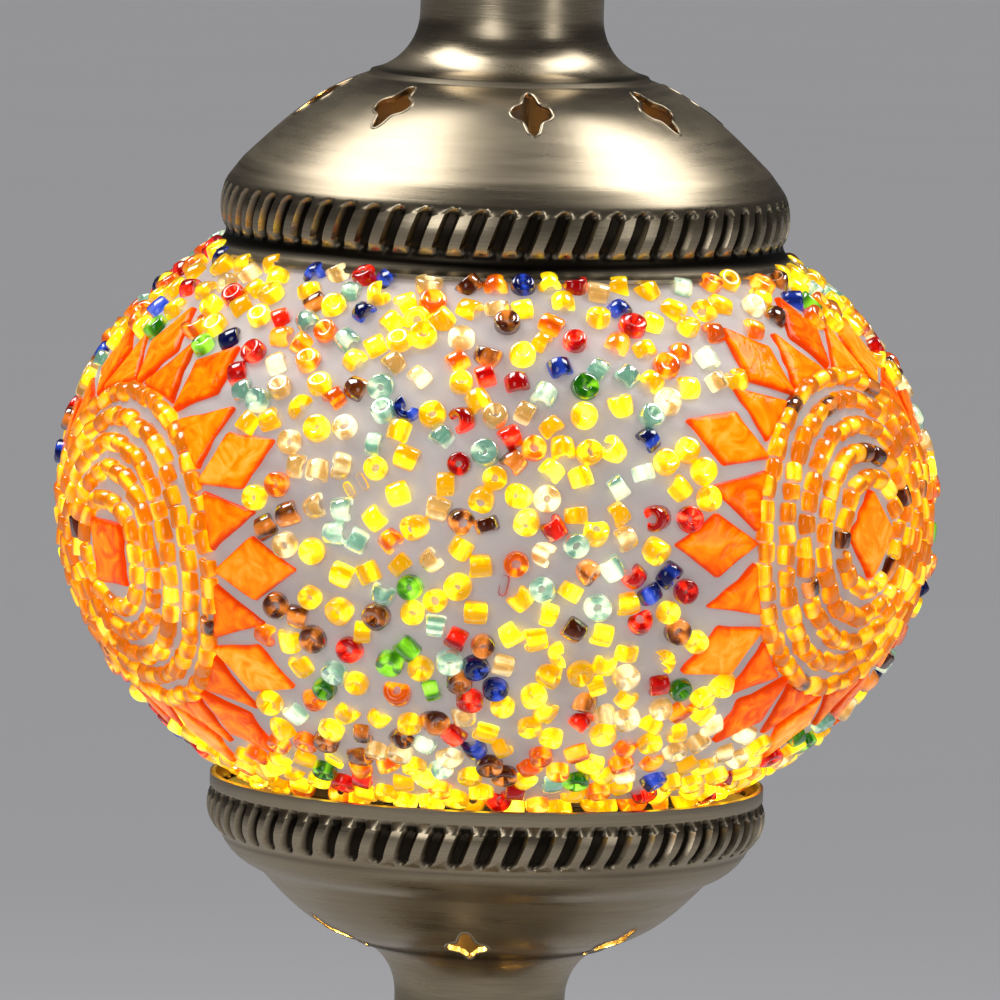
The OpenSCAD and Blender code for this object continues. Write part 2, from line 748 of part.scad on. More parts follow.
module cap_bell() {
    color(brass) difference() {
        translate([0, 0, cap_z]) spun_bell(cap_outline, stud_d / 2 + fit);
        translate([0, 0, cap_z]) flute_cutters(cap_band, 6.6, flute_lean);
        translate([0, 0, cap_z])
            star_cutters(cap_star, cap_stars, cap_star_turn, star_w, star_len);
    }
}

finial_collar_h = 3;
ball_z = finial_z + finial_collar_h;

module finial_collar() {
    color(dark_brass) translate([0, 0, finial_z]) rotate_extrude() polygon(concat(
        [[stud_d / 2 + fit, 0], [cap_neck_r - 0.6, 0]],
        curve([cap_neck_r - 0.6, 0], [cap_neck_r + 1.2, 0.6], [cap_neck_r + 1.2, 2.2],
              [cap_neck_r - 1.4, finial_collar_h], 6),
        [[stud_d / 2 + fit, finial_collar_h]]
    ));
}

module finial_ball() {
    neck = finial_ball_r * 0.55;
    rise = sqrt(pow(finial_ball_r, 2) - pow(neck, 2));
    color(brass) translate([0, 0, ball_z + rise]) difference() {
        rotate_extrude() intersection() {
            circle(r = finial_ball_r);
            translate([0, -rise]) square([finial_ball_r, 2 * rise]);
        }
        translate([0, 0, -rise - 1]) cylinder(d = stud_d + 2 * fit, h = rise + 2);
    }
}

module finial_spike() {
    neck = finial_ball_r * 0.55;
    low = ball_z + 2 * sqrt(pow(finial_ball_r, 2) - pow(neck, 2));
    top = finial_z + finial_h;
    color(brass) rotate_extrude() polygon(concat(
        [[0, low], [neck, low]],
        curve([neck, low], [neck + 2, low + 1], [neck + 2.4, low + 5], [neck + 0.6, low + 8], 6),
        curve([neck + 0.6, low + 8], [neck - 2.2, low + 13], [1.8, top - 8], [1.1, top - 1], 8),
        [[0.5, top], [0, top]]
    ));
}

foot_pad();
base_plate();
base_screws();
base_weight();
weight_nut();
foot_bell();
cord_inlet();
threaded_rod();
stem_lower_collar();
stem_baluster();
stem_upper_collar();
cup_bell();
cup_washer();
cup_nut();
holder_base();
holder_shell();
holder_insulator();
holder_thread();
centre_contact();
side_contact();
terminal_screws();
clamp_ring();
seat_plate();
seat_gasket();
bulb_cap();
bulb_insulator();
bulb_tip();
bulb_glass();
bulb_stem();
bulb_filaments();
glass_globe();
plaster_coat();
color(amber) centre_tile_prism(0);  // centre_tile_1
color(amber) rhomb_prisms(0);  // rhomb_tiles_1
color(amber) triangle_prisms(0);  // triangle_tiles_1
color(amber) centre_tile_prism(1);  // centre_tile_2
color(amber) rhomb_prisms(1);  // rhomb_tiles_2
color(amber) triangle_prisms(1);  // triangle_tiles_2
color(amber) centre_tile_prism(2);  // centre_tile_3
color(amber) rhomb_prisms(2);  // rhomb_tiles_3
color(amber) triangle_prisms(2);  // triangle_tiles_3
cap_gasket();
cap_plate();
cap_stud();
cap_nut();
cap_bell();
finial_collar();
finial_ball();
finial_spike();
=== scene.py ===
"""A mosaic glass table lamp: a beaded globe between a spun brass cup and cap, on a stem and foot."""
import logging
import math
from dataclasses import dataclass, field
from enum import Enum
from typing import Callable, Optional, Sequence

import bpy
import bmesh
import numpy as np
from mathutils import Matrix, Vector


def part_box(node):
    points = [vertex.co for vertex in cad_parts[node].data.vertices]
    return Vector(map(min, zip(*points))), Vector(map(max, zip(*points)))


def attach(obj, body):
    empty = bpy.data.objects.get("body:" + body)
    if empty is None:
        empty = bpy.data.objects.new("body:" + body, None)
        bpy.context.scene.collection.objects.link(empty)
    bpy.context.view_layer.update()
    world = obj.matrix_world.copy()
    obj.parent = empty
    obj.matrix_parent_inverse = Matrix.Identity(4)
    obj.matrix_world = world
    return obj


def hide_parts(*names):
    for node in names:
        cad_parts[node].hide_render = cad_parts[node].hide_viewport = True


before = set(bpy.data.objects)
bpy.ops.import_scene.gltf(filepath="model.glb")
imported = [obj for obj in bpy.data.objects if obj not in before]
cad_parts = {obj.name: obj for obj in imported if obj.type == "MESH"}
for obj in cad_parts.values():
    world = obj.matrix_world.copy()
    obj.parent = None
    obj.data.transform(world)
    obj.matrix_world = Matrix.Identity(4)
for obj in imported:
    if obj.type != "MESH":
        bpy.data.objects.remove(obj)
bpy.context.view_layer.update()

MM = 0.001
LOG = logging.getLogger("lamp")
Colour = tuple[float, float, float]
Outline = list[tuple[float, float]]
Sockets = dict[str, bpy.types.NodeSocket]

RINGS_PER_M = 3000.0          # brushed rings in a metre of brass, at a fineness of 1
GLASS_MARKS = "glass_marks"   # attribute with each glass point's tone, painted core light and glow
SHADE_AND_PATINA = "shade_and_patina"             # attribute with painted shade on the brass in its grooves, creases, flare and inner side, with some patina in the grooves
ROD_HOLE = 5.15               # radius of the hole for the tube through foot, stem and cup
STUD_HOLE = 3.15              # radius of the hole for the stud through cap and finial


# ---------------------------------------------------------------- geometry helpers


def rgba(colour: Colour) -> tuple[float, float, float, float]:
    """Returns a colour with full alpha."""
    return (colour[0], colour[1], colour[2], 1.0)


def dimmed(colour: Colour, share: float) -> Colour:
    """Returns a colour at a share of its brightness."""
    return tuple(c * share for c in colour)


def srgb(red: int, green: int, blue: int) -> Colour:
    """Converts a display colour of 0 to 255 a channel to the linear values a shader takes."""
    return tuple(((c / 255 + 0.055) / 1.055) ** 2.4 if c > 10 else c / 255 / 12.92
                 for c in (red, green, blue))


def smooth(low: float, high: float, value: np.ndarray) -> np.ndarray:
    """Returns 0 below low, 1 above high, and an even curve between them."""
    t = np.clip((value - low) / (high - low), 0.0, 1.0)
    return t * t * (3.0 - 2.0 * t)


def bend(outline: Outline, q: tuple, r: tuple, s: tuple, count: int = 8) -> None:
    """Carries an outline on from its last point by a cubic curve.

    Args:
        outline: The outline so far, as radius and height.
        q: First handle.
        r: Second handle.
        s: Last point.
        count: Number of points to add.
    """
    p = outline[-1]
    for i in range(1, count + 1):
        t = i / count
        u = 1.0 - t
        weights = (u ** 3, 3 * u * u * t, 3 * u * t * t, t ** 3)
        outline.append(tuple(sum(w * v[k] for w, v in zip(weights, (p, q, r, s)))
                             for k in (0, 1)))


def unit(vectors: np.ndarray) -> np.ndarray:
    """Returns vectors at a length of 1."""
    return vectors / np.linalg.norm(vectors, axis=-1, keepdims=True)


def inset(path: np.ndarray, depth: float) -> np.ndarray:
    """Moves a path sideways to its left by depth, with mitred corners."""
    step = unit(np.diff(path, axis=0))
    left = np.column_stack([-step[:, 1], step[:, 0]])
    before = np.vstack([left[:1], left])
    after = np.vstack([left, left[-1:]])
    middle = unit(before + after)
    reach = np.maximum((middle * before).sum(1), 0.35)
    return path + middle * (depth / reach)[:, None]


def add_mesh(name: str, vertices: np.ndarray, faces: Sequence, sharp_deg: float = 40.0
             ) -> bpy.types.Object:
    """Makes a smooth-shaded mesh object.

    Args:
        name: Name of the piece.
        vertices: Points in metres, one row each.
        faces: Corner indices of each face.
        sharp_deg: Edges that bend more than this stay sharp.

    Returns:
        The new object, linked to the scene.
    """
    mesh = bpy.data.meshes.new(name)
    mesh.from_pydata(np.asarray(vertices, float).tolist(), [],
                     faces.tolist() if isinstance(faces, np.ndarray) else list(faces))
    mesh.update()
    return add_object(name, mesh, sharp_deg)


def add_object(name: str, mesh: bpy.types.Mesh, sharp_deg: float = 40.0) -> bpy.types.Object:
    """Links a mesh to the scene as a smooth-shaded object."""
    mesh.polygons.foreach_set("use_smooth", np.ones(len(mesh.polygons), bool))
    mesh.set_sharp_from_angle(angle=math.radians(sharp_deg))
    return placed(name, mesh)


def placed(name: str, data: bpy.types.ID) -> bpy.types.Object:
    """Puts an object that shows some data into the scene."""
    thing = bpy.data.objects.new(name, data)
    bpy.context.scene.collection.objects.link(thing)
    return thing


def mark_glass(mesh: bpy.types.Mesh, marks: np.ndarray) -> None:
    """Stores tone, painted core light, glow and 1 for each point of glass."""
    layer = mesh.color_attributes.new(GLASS_MARKS, "FLOAT_COLOR", "POINT")
    layer.data.foreach_set("color", marks.astype(np.float32).ravel())


def grid_faces(rows: int, columns: int, closed: bool = True) -> np.ndarray:
    """Returns the quads of a grid whose rows run round an axis.

    Args:
        rows: Number of rows of points.
        columns: Number of points in a row.
        closed: Whether the last column joins the first.

    Returns:
        Corner indices, one quad a line.
    """
    across = np.arange(columns if closed else columns - 1)
    r, c = np.meshgrid(np.arange(rows - 1), across, indexing="ij")
    nxt = (c + 1) % columns
    quads = np.stack([r * columns + c, r * columns + nxt,
                      (r + 1) * columns + nxt, (r + 1) * columns + c], axis=-1)
    return quads.reshape(-1, 4)


def ring_faces(rows: int, columns: int) -> np.ndarray:
    """Returns the quads of a grid whose rows run round an axis and whose last row joins its first."""
    return grid_faces(rows + 1, columns) % (rows * columns)


def around_axis(radius: np.ndarray, turn: np.ndarray, height: np.ndarray) -> np.ndarray:
    """Returns points at a radius and height, turned from the front about the Z axis."""
    radius, turn, height = np.broadcast_arrays(radius, turn, height)
    return np.stack([radius * np.sin(turn), -radius * np.cos(turn), height], axis=-1)


def node_points(node: str) -> np.ndarray:
    """Returns a CAD node's points in millimetres."""
    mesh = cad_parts[node].data
    flat = np.empty(len(mesh.vertices) * 3)
    mesh.vertices.foreach_get("co", flat)
    return flat.reshape(-1, 3) / MM


def node_islands(node: str) -> list[np.ndarray]:
    """Returns the corners of each separate solid of a flat-sided CAD node, in millimetres."""
    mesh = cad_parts[node].data
    points = node_points(node)
    keys = {}
    merged = np.array([keys.setdefault(tuple(np.round(p, 3)), len(keys)) for p in points])
    parent = list(range(len(keys)))

    def root(i: int) -> int:
        """Finds the first member of a point's solid."""
        while parent[i] != i:
            parent[i] = parent[parent[i]]
            i = parent[i]
        return i

    for face in mesh.polygons:
        first = root(merged[face.vertices[0]])
        for v in face.vertices[1:]:
            parent[root(merged[v])] = first
    corners = np.array(list(keys))
    solids: dict[int, list[int]] = {}
    for i in range(len(corners)):
        solids.setdefault(root(i), []).append(i)
    return [corners[members] for _, members in sorted(solids.items())]


# ---------------------------------------------------------------- shader helpers


def by_name(sockets: Sequence[bpy.types.NodeSocket]) -> Sockets:
    """Returns a node's sockets by their names."""
    return {socket.name: socket for socket in sockets}


class Shader:
    """A material's or group's node tree, with short ways to place and join nodes."""

    def __init__(self, tree: bpy.types.NodeTree):
        """Takes the tree to build in."""
        self.tree = tree

    def add(self, kind: str, inputs: Optional[dict] = None, **settings) -> bpy.types.Node:
        """Places a node.

        Args:
            kind: The node's type name.
            inputs: Socket name or number to a value or an output socket.
            **settings: The node's own properties.

        Returns:
            The node.
        """
        node = self.tree.nodes.new(kind)
        for key, value in settings.items():
            setattr(node, key, value)
        self.set(node, inputs or {})
        return node

    def set(self, node: bpy.types.Node, inputs: dict) -> None:
        """Gives a node's inputs, by name or number, their values or output sockets."""
        for key, value in inputs.items():
            self.feed(node.inputs[key], value)

    def feed(self, socket: bpy.types.NodeSocket, value) -> None:
        """Gives a socket a value, or joins an output to it."""
        if isinstance(value, bpy.types.NodeSocket):
            self.tree.links.new(value, socket)
        elif hasattr(socket.default_value, "__len__") and len(socket.default_value) == 4:
            socket.default_value = rgba(value) if len(value) == 3 else value
        else:
            socket.default_value = value

    def math(self, operation: str, *values) -> bpy.types.NodeSocket:
        """Returns the result of a Math node."""
        return self.add("ShaderNodeMath", dict(enumerate(values)), operation=operation).outputs[0]

    def times(self, first, second) -> bpy.types.NodeSocket:
        """Returns the product of two values."""
        return self.math("MULTIPLY", first, second)

    def plus(self, *values) -> bpy.types.NodeSocket:
        """Returns the sum of some values."""
        total = values[0]
        for value in values[1:]:
            total = self.math("ADD", total, value)
        return total

    def vector(self, x, y, z) -> bpy.types.NodeSocket:
        """Returns a vector made of three values."""
        return self.add("ShaderNodeCombineXYZ", {0: x, 1: y, 2: z}).outputs[0]

    def mix(self, factor, first, second, blend: str = "MIX") -> bpy.types.NodeSocket:
        """Returns a mix of two colours."""
        return self.add("ShaderNodeMix", {"Factor": factor, 6: first, 7: second},
                        data_type="RGBA", blend_type=blend).outputs[2]

    def noise(self, vector, scale: float, detail: float = 2.0, rough: float = 0.5,
              distortion: float = 0.0) -> bpy.types.NodeSocket:
        """Returns a noise value about 0.5."""
        return self.add("ShaderNodeTexNoise", {
            "Vector": vector, "Scale": scale, "Detail": detail, "Roughness": rough,
            "Distortion": distortion}).outputs[0]

    def ramp(self, value, low: float, high: float, to_low: float = 0.0, to_high: float = 1.0
             ) -> bpy.types.NodeSocket:
        """Maps a value's range low..high to to_low..to_high, smoothly and within it."""
        return self.add("ShaderNodeMapRange", {
            "Value": value, "From Min": low, "From Max": high,
            "To Min": to_low, "To Max": to_high}, interpolation_type="SMOOTHSTEP").outputs[0]

    def here(self) -> bpy.types.NodeSocket:
        """Returns the point on the piece, in metres."""
        return self.add("ShaderNodeTexCoord").outputs["Object"]

    def attribute(self, name: str) -> bpy.types.Node:
        """Returns a node that reads values stored in the mesh."""
        return self.add("ShaderNodeAttribute", attribute_name=name, attribute_type="GEOMETRY")

    def bump(self, height, strength: float, distance_mm: float) -> bpy.types.NodeSocket:
        """Returns a normal raised by a height."""
        return self.add("ShaderNodeBump", {
            "Height": height, "Strength": strength, "Distance": distance_mm * MM}).outputs[0]

    def group(self, tree: bpy.types.NodeTree, **inputs) -> Sockets:
        """Places a node group with its own values, and returns its outputs."""
        return by_name(self.add("ShaderNodeGroup", inputs, node_tree=tree).outputs)


def new_group(name: str, inputs: Sequence[str], outputs: Sequence[str], colours: Sequence[str] = ()
              ) -> tuple[Shader, Sockets, Sockets]:
    """Starts a node group.

    Args:
        name: Name of the group.
        inputs: Names of its inputs.
        outputs: Names of its outputs.
        colours: Which of those are colours. The others are values.

    Returns:
        The group's shader helper, and its input and output sockets by name.
    """
    tree = bpy.data.node_groups.new(name, "ShaderNodeTree")
    for side, keys in (("INPUT", inputs), ("OUTPUT", outputs)):
        for key in keys:
            kind = "NodeSocketColor" if key in colours else "NodeSocketFloat"
            tree.interface.new_socket(key, in_out=side, socket_type=kind)
    given = tree.nodes.new("NodeGroupInput").outputs
    made = tree.nodes.new("NodeGroupOutput").inputs
    return Shader(tree), by_name(given), by_name(made)


def circular_brush_group() -> bpy.types.NodeTree:
    """Makes fine rings about the axis, as a spinning lathe and emery leave them."""
    shader, given, made = new_group("circular_brush", ("Fineness", "Tarnish"),
                                    ("Height", "Streak", "Patina"))
    place = shader.here()
    x, y, z = shader.add("ShaderNodeSeparateXYZ", {0: place}).outputs
    around = shader.math("ARCTAN2", y, x)
    radius = shader.math("SQRT", shader.plus(shader.times(x, x), shader.times(y, y)))
    across = shader.times(shader.plus(z, shader.times(radius, 0.7)),
                          shader.times(given["Fineness"], RINGS_PER_M))
    fine = shader.noise(shader.vector(shader.times(around, 1.8), across, 0.0), 1.0, 3.0, 0.6)
    broad = shader.noise(
        shader.vector(shader.times(around, 1.4), shader.times(across, 0.15), 3.0), 1.0)
    blotch = shader.plus(shader.times(broad, 0.6), shader.times(shader.noise(place, 40.0), 0.5))
    streak = shader.plus(shader.times(fine, 0.55), shader.times(broad, 0.45))
    shader.feed(made["Height"], shader.plus(fine, shader.times(broad, 0.6)))
    shader.feed(made["Streak"], streak)
    shader.feed(made["Patina"], shader.times(shader.ramp(blotch, 0.35, 0.85), given["Tarnish"]))
    return shader.tree


def glass_body_group() -> bpy.types.NodeTree:
    """Makes a small lit piece of glass: painted light in its colour, deep at its rim and pale where
    its core is lit, and a painted highlight in its light.
    """
    shader, given, made = new_group(
        "glass_body", ("Deep", "Pale", "Scale", "Stretch"), ("Colour", "Light", "Height"),
        colours=("Deep", "Pale", "Colour", "Light"))
    marks = shader.attribute(GLASS_MARKS).outputs["Color"]
    tone, core, glow = shader.add("ShaderNodeSeparateColor", {0: marks}).outputs
    shift = shader.vector(tone, shader.times(tone, 3.7), shader.times(tone, 7.3))
    moved = shader.add("ShaderNodeVectorMath", {0: shader.here(), 1: shift},
                       operation="ADD").outputs[0]
    cloud = shader.noise(moved, given["Scale"], distortion=given["Stretch"])
    amount = shader.plus(shader.times(core, 0.62), shader.times(cloud, 0.8),
                         shader.times(tone, -0.35))
    # Painted light: the base colour runs from deep to pale with the core's light mark, the random
    # cloud and the tone.
    body = shader.mix(shader.ramp(amount, 0.42, 1.08), given["Deep"], given["Pale"])
    # Painted highlight: the brightest parts of the light are pushed towards white-yellow.
    painted_highlight = shader.mix(shader.ramp(amount, 0.85, 1.3, 0.0, 0.35), body, (1.0, 0.9, 0.35))
    bright = shader.times(glow, shader.ramp(amount, 0.25, 1.0, 0.5, 1.5))
    shader.feed(made["Colour"], body)
    shader.feed(made["Light"], shader.mix(1.0, painted_highlight, bright, "MULTIPLY"))
    shader.feed(made["Height"], cloud)
    return shader.tree


def speckle_group() -> bpy.types.NodeTree:
    """Makes the fine grain that cast, moulded and plastered surfaces share."""
    shader, given, made = new_group("speckle", ("Scale",), ("Height", "Mask"))
    place = shader.here()
    grain = shader.noise(place, given["Scale"], 4.0, 0.65)
    broad = shader.noise(place, shader.times(given["Scale"], 0.12), 3.0)
    shader.feed(made["Height"], shader.plus(shader.times(grain, 0.5), shader.times(broad, 0.8)))
    shader.feed(made["Mask"], broad)
    return shader.tree


GROUPS: dict[str, bpy.types.NodeTree] = {}


def shared(maker: Callable[[], bpy.types.NodeTree]) -> bpy.types.NodeTree:
    """Returns a shared node group, built the first time it is asked for."""
    if maker.__name__ not in GROUPS:
        GROUPS[maker.__name__] = maker()
    return GROUPS[maker.__name__]


def new_material(name: str) -> tuple[bpy.types.Material, Shader, bpy.types.Node]:
    """Starts a material and returns it with its shader helper and its Principled node."""
    material = bpy.data.materials.new(name)
    material.use_nodes = True
    shader = Shader(material.node_tree)
    return material, shader, material.node_tree.nodes["Principled BSDF"]


# ---------------------------------------------------------------- finishes


@dataclass(frozen=True)
class Metal:
    """A lathe-turned or brushed metal.

    Attributes:
        name: Name of the material.
        bright: Colour of the clean metal.
        dull: Colour of the tarnished metal; a near-black share of it is the painted shade in hollows.
        rough: Roughness where clean.
        fineness: How close the brushed rings lie.
        tarnish: Share of the surface that has gone dull, 0 to 1.
        relief_mm: Depth of the brushing.
        anisotropy: How far highlights are drawn out across the rings.
    """

    name: str
    bright: Colour
    dull: Colour
    rough: float = 0.3
    fineness: float = 1.0
    tarnish: float = 0.6
    relief_mm: float = 0.012
    anisotropy: float = 0.4

    def make(self) -> bpy.types.Material:
        """Builds the material."""
        material, shader, body = new_material(self.name)
        brush = shader.group(shared(circular_brush_group), Fineness=self.fineness,
                             Tarnish=self.tarnish)
        streak = brush["Streak"]
        clean = shader.mix(shader.ramp(streak, 0.3, 0.7), dimmed(self.bright, 0.72), self.bright)
        dulled = shader.mix(brush["Patina"], clean, self.dull)
        # Painted shade and patina: where the shade mark is high, the base colour falls to a
        # near-black dull brass.
        shade_and_patina = shader.attribute(SHADE_AND_PATINA).outputs["Fac"]
        worn = shader.plus(shader.times(brush["Patina"], 0.12), shader.times(streak, 0.16),
                           shader.times(shade_and_patina, 0.08), self.rough - 0.08)
        shader.set(body, {
            "Base Color": shader.mix(shade_and_patina, dulled, dimmed(self.dull, 0.12)),
            "Roughness": worn, "Metallic": 1.0, "Anisotropic": self.anisotropy,
            "Normal": shader.bump(brush["Height"], 0.6, self.relief_mm)})
        return material


@dataclass(frozen=True)
class Glass:
    """Small coloured glass, lit from behind.

    Attributes:
        name: Name of the material.
        deep: Colour where the glass is thick and gets least painted light, at its rim and in its dark
            clouds.
        pale: Colour where light comes through.
        light: Strength of the light that comes through.
        scale: Fineness of the clouds in the glass.
        stretch: How far the clouds are drawn into streaks.
        clear: How much light passes straight through, 0 to 1.
        rim: How far the light fades to the deep colour at the glass's outline, 0 to 1.
        rough: Roughness of the surface.
        relief_mm: Depth of the surface's waves.
        ior: Index of refraction, which sets how strongly it mirrors.
    """

    name: str
    deep: Colour
    pale: Colour
    light: float = 0.5
    scale: float = 300.0
    stretch: float = 0.6
    clear: float = 0.0
    rim: float = 0.0
    rough: float = 0.1
    relief_mm: float = 0.05
    ior: float = 1.5

    def make(self) -> bpy.types.Material:
        """Builds the material."""
        material, shader, body = new_material(self.name)
        inner = shader.group(shared(glass_body_group), Deep=self.deep, Pale=self.pale,
                             Scale=self.scale, Stretch=self.stretch)
        # Painted shade: the glass's light fades to a dark deep colour where it is seen edge-on.
        facing = shader.add("ShaderNodeLayerWeight", {"Blend": 0.45}).outputs["Facing"]
        rim = shader.ramp(facing, 0.25, 0.9, 0.0, self.rim)
        shader.set(body, {
            "Base Color": inner["Colour"],
            "Emission Color": shader.mix(rim, inner["Light"], dimmed(self.deep, 0.2)),
            "Emission Strength": self.light, "Transmission Weight": self.clear,
            "Roughness": self.rough, "IOR": self.ior,
            "Normal": shader.bump(inner["Height"], 0.5, self.relief_mm)})
        return material


@dataclass(frozen=True)
class Grainy:
    """A plain material with fine grain: felt, rubber, porcelain, cast iron, bakelite or plaster.

    Attributes:
        name: Name of the material.
        colour: Its main colour.
        second: Colour of its blotches.
        rough: Roughness.
        scale: Fineness of the grain.
        relief_mm: Depth of the grain.
        metallic: 1 for bare metal.
        coat: Weight of a clear glaze.
        sheen: Weight of the soft sheen of cloth.
        light: Strength of the light that comes through it.
        mirrored: How bright it looks when shiny things reflect it, 0 to 1.
    """

    name: str
    colour: Colour
    second: Colour
    rough: float = 0.6
    scale: float = 900.0
    relief_mm: float = 0.03
    metallic: float = 0.0
    coat: float = 0.0
    sheen: float = 0.0
    light: float = 0.0
    mirrored: float = 1.0

    def make(self) -> bpy.types.Material:
        """Builds the material."""
        material, shader, body = new_material(self.name)
        grain = shader.group(shared(speckle_group), Scale=self.scale)
        mask = shader.ramp(grain["Mask"], 0.35, 0.7)
        colour = shader.mix(mask, self.colour, self.second)
        # Painted reflection: glossy rays see the colour dimmed, so shiny things mirror it darker than
        # the camera sees it.
        if self.mirrored < 1.0:
            gloss = shader.add("ShaderNodeLightPath").outputs["Is Glossy Ray"]
            colour = shader.mix(gloss, colour, dimmed(self.colour, self.mirrored))
        if self.light:
            shader.set(body, {"Emission Color": colour, "Emission Strength": self.light})
        shader.set(body, {
            "Base Color": colour, "Roughness": shader.plus(shader.times(mask, 0.1), self.rough),
            "Metallic": self.metallic, "Coat Weight": self.coat, "Sheen Weight": self.sheen,
            "Normal": shader.bump(grain["Height"], 0.5, self.relief_mm)})
        return material


@dataclass(frozen=True)
class ClearGlass:
    """Blown or drawn clear glass with faint ripples.

    Attributes:
        name: Name of the material.
        tint: Colour that the glass gives to light.
        light: Strength of its own light, for a lit bulb.
        rough: Roughness of the surface.
    """

    name: str
    tint: Colour
    light: float = 0.0
    rough: float = 0.03

    def make(self) -> bpy.types.Material:
        """Builds the material."""
        material, shader, body = new_material(self.name)
        ripple = shader.noise(shader.here(), 60.0, distortion=0.5)
        shader.set(body, {
            "Base Color": shader.mix(shader.ramp(ripple, 0.3, 0.7), self.tint,
                                     dimmed(self.tint, 0.9)),
            "Transmission Weight": 0.9, "Roughness": self.rough, "IOR": 1.48,
            "Emission Color": self.tint, "Emission Strength": self.light,
            "Normal": shader.bump(ripple, 0.3, 0.2)})
        return material


Finish = Metal | Glass | Grainy | ClearGlass

BRUSHED_BRASS = Metal("brushed_brass", (0.62, 0.52, 0.365), (0.20, 0.158, 0.11), rough=0.26,
                      tarnish=0.5, relief_mm=0.02, anisotropy=0.5)
TURNED_BRASS = Metal("turned_brass", (0.56, 0.46, 0.30), (0.17, 0.135, 0.09), rough=0.26,
                     tarnish=0.45, relief_mm=0.008)
BRIGHT_BRASS = Metal("bright_brass", (0.82, 0.62, 0.28), (0.5, 0.36, 0.15), rough=0.25,
                     fineness=0.6, tarnish=0.3, relief_mm=0.006)
PLAIN_STEEL = Metal("plain_steel", (0.60, 0.61, 0.62), (0.36, 0.36, 0.35), rough=0.36,
                    fineness=0.5, tarnish=0.5)
NICKEL = Metal("nickel", (0.66, 0.63, 0.57), (0.42, 0.40, 0.36), rough=0.28, fineness=0.7,
               tarnish=0.3)
FELT = Grainy("felt", (0.022, 0.022, 0.024), (0.05, 0.05, 0.052), rough=0.9, scale=2500.0,
              relief_mm=0.15, sheen=0.4)
RUBBER = Grainy("black_rubber", (0.02, 0.02, 0.02), (0.035, 0.034, 0.033), rough=0.62,
                scale=1500.0)
BAKELITE = Grainy("bakelite", (0.03, 0.022, 0.016), (0.05, 0.033, 0.022), rough=0.24, scale=400.0,
                  relief_mm=0.01, coat=0.3)
PORCELAIN = Grainy("porcelain", (0.78, 0.76, 0.70), (0.70, 0.68, 0.62), rough=0.3, scale=300.0,
                   relief_mm=0.01, coat=0.6)
CAST_IRON = Grainy("cast_iron", (0.05, 0.05, 0.052), (0.09, 0.085, 0.08), rough=0.62, scale=700.0,
                   relief_mm=0.12, metallic=0.6)
SOLDER = Grainy("solder", (0.55, 0.55, 0.52), (0.42, 0.42, 0.40), rough=0.4, scale=900.0,
                relief_mm=0.03, metallic=1.0)
BLACK_GLASS = Grainy("black_glass", (0.008, 0.008, 0.012), (0.02, 0.02, 0.03), rough=0.12,
                     scale=200.0, relief_mm=0.01, coat=0.8)
PLASTER = Grainy("plaster", srgb(192, 182, 178), srgb(174, 164, 162), rough=0.42, scale=420.0,
                 relief_mm=0.3, light=0.24)
BLOWN_GLASS = ClearGlass("blown_glass", (0.93, 0.97, 0.95))
CLEAR_GLASS = ClearGlass("clear_glass", (0.95, 0.97, 0.96))
BULB_GLASS = ClearGlass("bulb_glass", (1.0, 0.80, 0.50), light=0.45, rough=0.12)
FILAMENT = Glass("filament", (1.0, 0.62, 0.2), (1.0, 0.8, 0.45), light=6.0, scale=700.0)
AMBER_TILE = Glass("amber_tile", srgb(236, 66, 0), srgb(255, 140, 4), light=0.62, scale=190.0,
                   stretch=2.6, rough=0.07, relief_mm=0.3, ior=1.3)
RING_AMBER = Glass("ring_amber", srgb(216, 112, 0), srgb(252, 186, 8), 0.95, clear=0.12,
                   rim=0.75)
PALE_FLOOR = Grainy("pale_floor", (0.62, 0.62, 0.63), (0.605, 0.605, 0.62), rough=0.85,
                    scale=60.0, relief_mm=0.02, mirrored=0.62)


class BeadColour(Enum):
    """The colours of the seed beads."""

    LEMON = Glass("bead_lemon", srgb(232, 170, 0), srgb(255, 242, 24), 1.05, clear=0.25, rim=0.85)
    CHAMPAGNE = Glass("bead_champagne", srgb(206, 160, 84), srgb(255, 242, 186), 0.85,
                      clear=0.4, rim=0.8)
    AMBER = Glass("bead_amber", srgb(210, 80, 0), srgb(255, 170, 6), 1.0, clear=0.25, rim=0.85)
    RED = Glass("bead_red", srgb(150, 0, 0), srgb(255, 40, 8), 0.95, clear=0.2, rim=0.85)
    TOPAZ = Glass("bead_topaz", srgb(70, 22, 2), srgb(226, 128, 38), 0.6, clear=0.3, rim=0.9)
    AQUA = Glass("bead_aqua", srgb(120, 170, 146), srgb(226, 240, 204), 0.7, clear=0.5, rim=0.8)
    COBALT = Glass("bead_cobalt", srgb(6, 12, 70), srgb(44, 82, 214), 0.4, clear=0.15, rim=0.9)
    GREEN = Glass("bead_green", srgb(22, 92, 4), srgb(140, 218, 36), 0.8, clear=0.25, rim=0.9)


SHARES = {
    BeadColour.LEMON: 0.36, BeadColour.CHAMPAGNE: 0.15, BeadColour.AMBER: 0.12,
    BeadColour.RED: 0.10, BeadColour.TOPAZ: 0.10, BeadColour.AQUA: 0.085,
    BeadColour.COBALT: 0.05, BeadColour.GREEN: 0.035}

